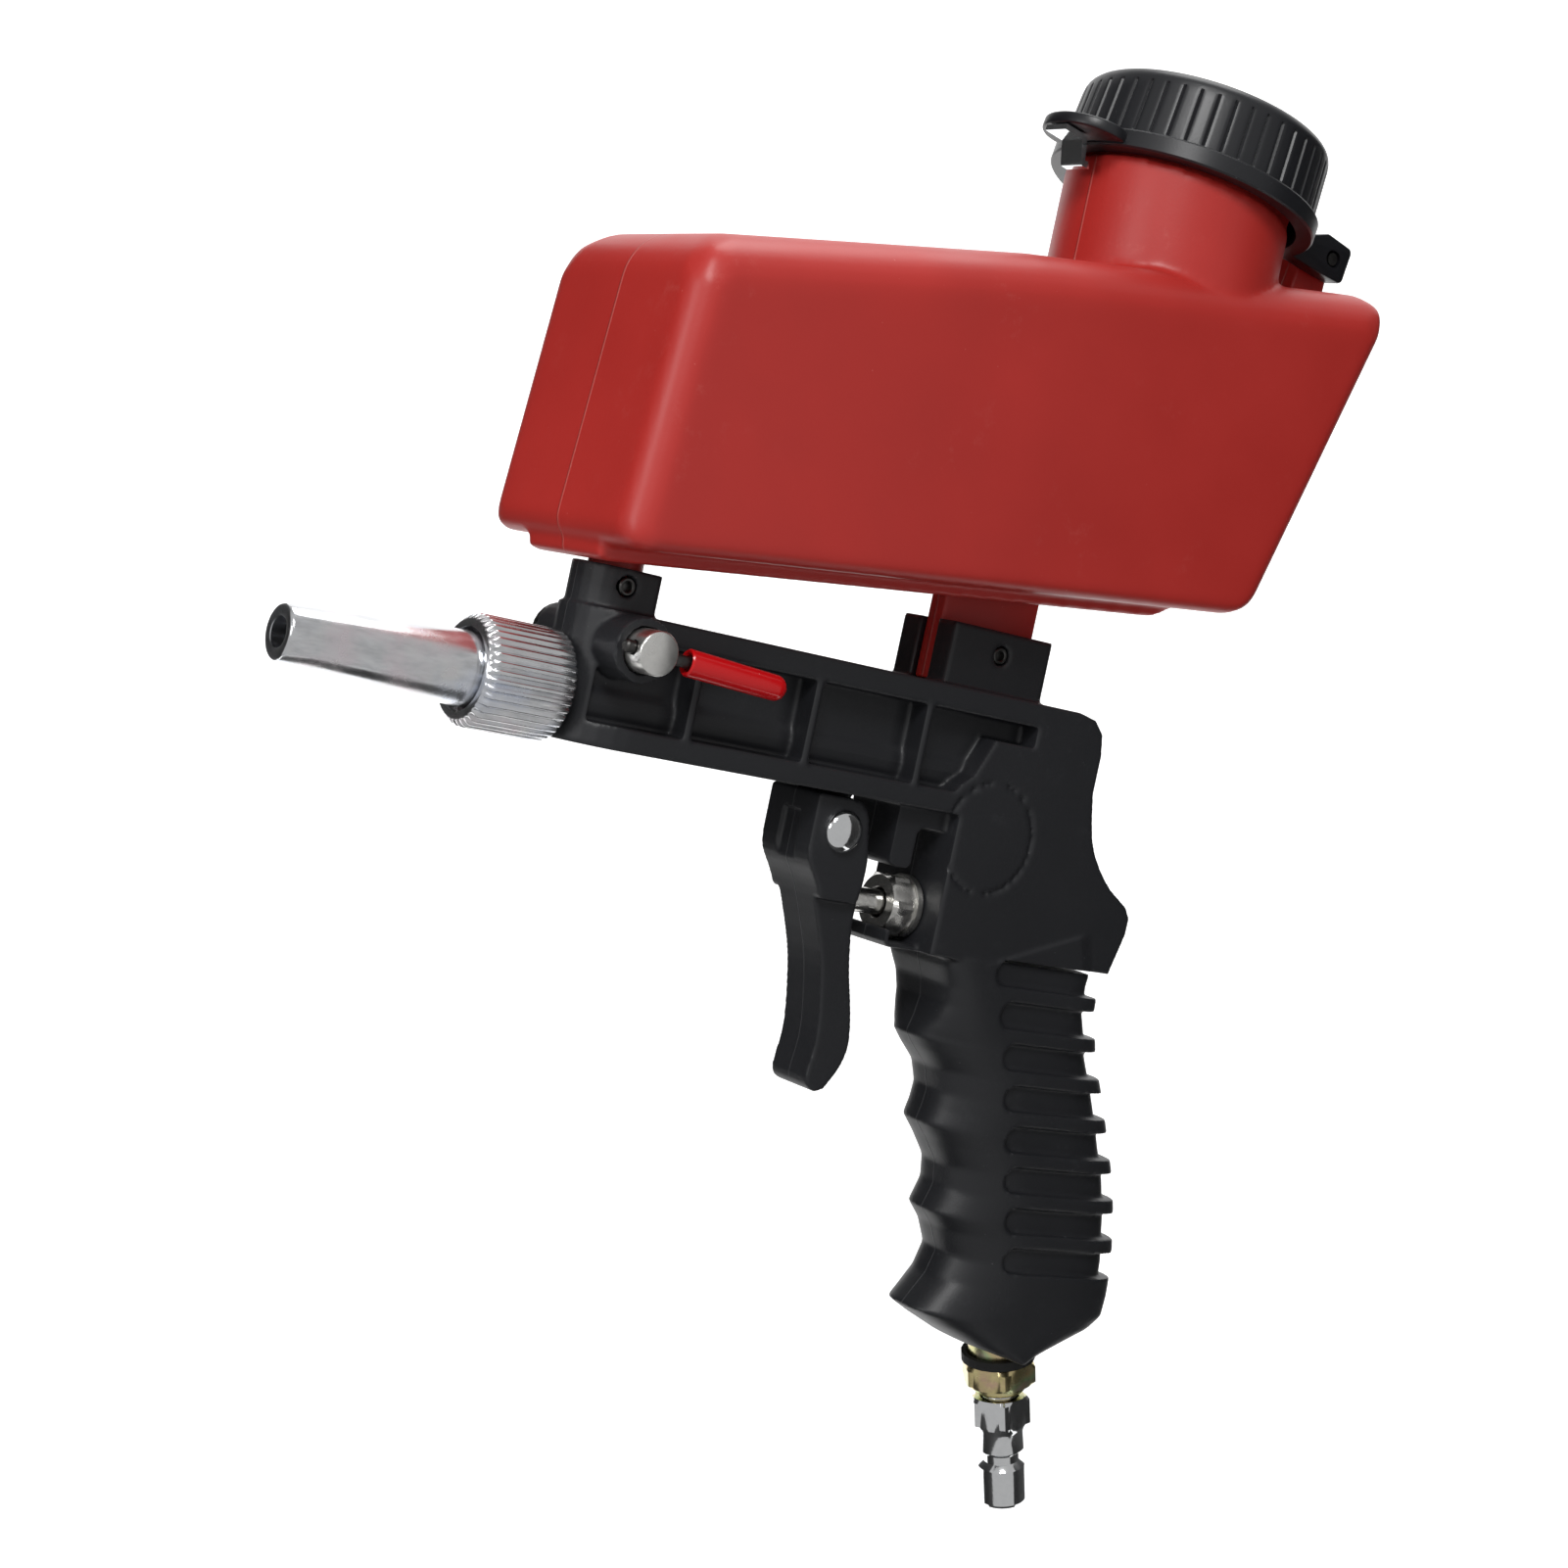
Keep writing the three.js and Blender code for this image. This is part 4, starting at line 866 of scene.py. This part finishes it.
def make_plug(materials):
    origin, up = inlet_axis()
    tip = low("air_plug")
    end = origin - up * ((origin.z - tip.z) / up.z - 1.5 * MM)
    profile = [(0, 3), (0, 4.9), (0.5, 5.55), (1.2, 5.9), (10.2, 5.9), (10.8, 5.4), (11.6, 4.5),
               (13.6, 4.5), (14.4, 5.4), (14.9, 5.9), (19.8, 5.9), (20.6, 6.2), (21.3, 6.35),
               (21.6, 7.0), (22.4, 8.05), (28.6, 8.05), (29.4, 7.1), (29.5, 4.7), (41, 4.7),
               (41, 3)]
    flats = hexagonal(14 * MM)

    def shape(angle, along, radius):
        return flats(angle, along, radius) if 21.4 * MM < along < 29.45 * MM else radius
    piece = spun("air_plug_turned", end, up, [(a * MM, r * MM) for a, r in profile], 120, shape)
    smooth(piece, 25)
    return finish_piece(piece, "gun", ["air_plug"], materials["chrome"])


def make_socket_screws(materials):
    """Screws with a round socket recess, seen in the two leg sockets."""
    for node in ("front_leg_screw", "rear_leg_screw"):
        near, far = low(node), high(node)
        centre = middle(node)
        length = (far.y - near.y) / MM
        profile = [(1.4, 0), (1.4, 1.15), (0.15, 1.15), (0, 1.35), (0, 1.75), (0.25, 2),
                   (length, 2), (length, 0)]
        piece = spun(node + "_turned", (centre.x, near.y, centre.z), Y_AXIS,
                     [(a * MM, r * MM) for a, r in profile], 48)
        finish_piece(piece, "gun", [node], materials["dark_steel"])


def dress_cad_nodes(materials):
    """CAD nodes that keep their shape get their slot's material."""
    slots = {entry["node"]: entry["material_slot"] for entry in frame["record"]["subparts"]}
    for node, piece in frame["nodes"].items():
        piece.data.materials.clear()
        piece.data.materials.append(materials[slots[node]])
        smooth(piece, 40)


# ---- Studio ----

CAMERA_PLACE = Vector((-0.4327, -0.5150, 0.01095))
CAMERA_TURN = (36.5, 2.0, 12.0)
LENS = 65.2
FLOOR = -0.6


def make_camera():
    """Looks along +X and +Y from low on the near side, rolled."""
    azimuth, elevation, roll = (math.radians(angle) for angle in CAMERA_TURN)
    forward = Vector((math.sin(azimuth) * math.cos(elevation),
                      math.cos(azimuth) * math.cos(elevation), -math.sin(elevation)))
    right = forward.cross(Z_AXIS).normalized()
    up = right.cross(forward)
    rolled_right = right * math.cos(roll) + up * math.sin(roll)
    rolled_up = up * math.cos(roll) - right * math.sin(roll)
    data = bpy.data.cameras.new("camera")
    data.lens = LENS
    data.sensor_width = 36
    data.clip_start = 0.01
    camera = bpy.data.objects.new("camera", data)
    bpy.context.scene.collection.objects.link(camera)
    turn = Matrix((rolled_right, rolled_up, -forward)).transposed().to_4x4()
    camera.matrix_world = Matrix.Translation(CAMERA_PLACE) @ turn
    bpy.context.scene.camera = camera


def soft_light(name, place, size, power, target=(0, 0, 0.02)):
    data = bpy.data.lights.new(name, "AREA")
    data.shape = "DISK"
    data.size = size
    data.energy = power
    light = bpy.data.objects.new(name, data)
    bpy.context.scene.collection.objects.link(light)
    light.location = place
    light.rotation_euler = (Vector(target) - Vector(place)).to_track_quat("-Z", "Y").to_euler()


def studio_directions():
    """Level directions away from the camera and to its right."""
    azimuth = math.radians(CAMERA_TURN[0])
    away = Vector((math.sin(azimuth), math.cos(azimuth), 0))
    return away, Vector((away.y, -away.x, 0))


def make_sweep():
    """A pale floor that curves up into the wall behind."""
    depth, bend, rise, half = 1.6, 1.0, 4.0, 5.0
    line = [(-0.12, FLOOR), (depth, FLOOR)]
    line += [(depth + bend * math.sin(a), FLOOR + bend * (1 - math.cos(a)))
             for a in np.linspace(0.1, math.pi / 2, 16)]
    line.append((depth + bend, rise))
    away, aside = studio_directions()
    verts = []
    for distance, height in line:
        for side in (-half, half):
            verts.append(away * distance + aside * side + Z_AXIS * height)
    faces = [(2 * i, 2 * i + 1, 2 * i + 3, 2 * i + 2) for i in range(len(line) - 1)]
    sweep = mesh_object("sweep", verts, faces)
    smooth(sweep, 60)
    material, nodes, links, shader = new_material("pale_sweep")
    tone = noise(nodes, links, object_position(nodes), 2)
    links.new(ramp(nodes, links, tone, [(0, (0.93, 0.93, 0.93)), (1, (0.96, 0.96, 0.96))]),
              shader.inputs["Base Color"])
    shader.inputs["Roughness"].default_value = 0.9
    shader.inputs["Emission Color"].default_value = (1, 1, 1, 1)
    shader.inputs["Emission Strength"].default_value = 0.62
    sweep.data.materials.append(material)


def make_cards():
    """Dark cards below and beside the view, which give bright metal its dark edges."""
    away, aside = studio_directions()
    material, nodes, links, shader = new_material("dark_card")
    tone = noise(nodes, links, object_position(nodes), 2)
    links.new(ramp(nodes, links, tone, [(0, (0.01, 0.01, 0.01)), (1, (0.02, 0.02, 0.02))]),
              shader.inputs["Base Color"])
    below = [aside * x + away * y - Z_AXIS * 0.36
             for x, y in ((-0.3, -0.1), (0.3, -0.1), (0.3, 0.12), (-0.3, 0.12))]
    cards = [below]
    for side in (-1, 1):
        near = aside * side * 0.42 - away * 0.15
        far = aside * side * 0.50 + away * 0.70
        cards.append([near - Z_AXIS * 0.4, far - Z_AXIS * 0.4, far + Z_AXIS * 0.5,
                      near + Z_AXIS * 0.5])
    for corners in cards:
        card = mesh_object("dark_card", corners, [(0, 1, 2, 3)])
        card.data.materials.append(material)
        card.visible_camera = False


def make_stage():
    make_sweep()
    make_cards()
    world = bpy.data.worlds.new("studio")
    bpy.context.scene.world = world
    world.use_nodes = True
    world.node_tree.nodes["Background"].inputs["Color"].default_value = (1, 1, 1, 1)
    world.node_tree.nodes["Background"].inputs["Strength"].default_value = 0.45
    bpy.context.scene.view_settings.view_transform = "Standard"
    soft_light("key", (-0.9, -0.9, 1.0), 0.5, 12)
    soft_light("side", (-1.2, -0.3, 0.2), 0.4, 2.5)
    soft_light("top", (0.2, 0.2, 1.3), 0.8, 6)


def main():
    make_camera()
    make_stage()
    materials = make_materials()
    dress_cad_nodes(materials)
    make_hopper(materials)
    make_lid(materials)
    make_nozzle(materials)
    make_nut(materials)
    make_body(materials)
    make_trigger(materials)
    make_rivet(materials)
    make_gland(materials)
    make_stem(materials)
    make_spindle(materials)
    make_rod(materials)
    make_sleeve(materials)
    make_adapter(materials)
    make_plug(materials)
    make_socket_screws(materials)


main()
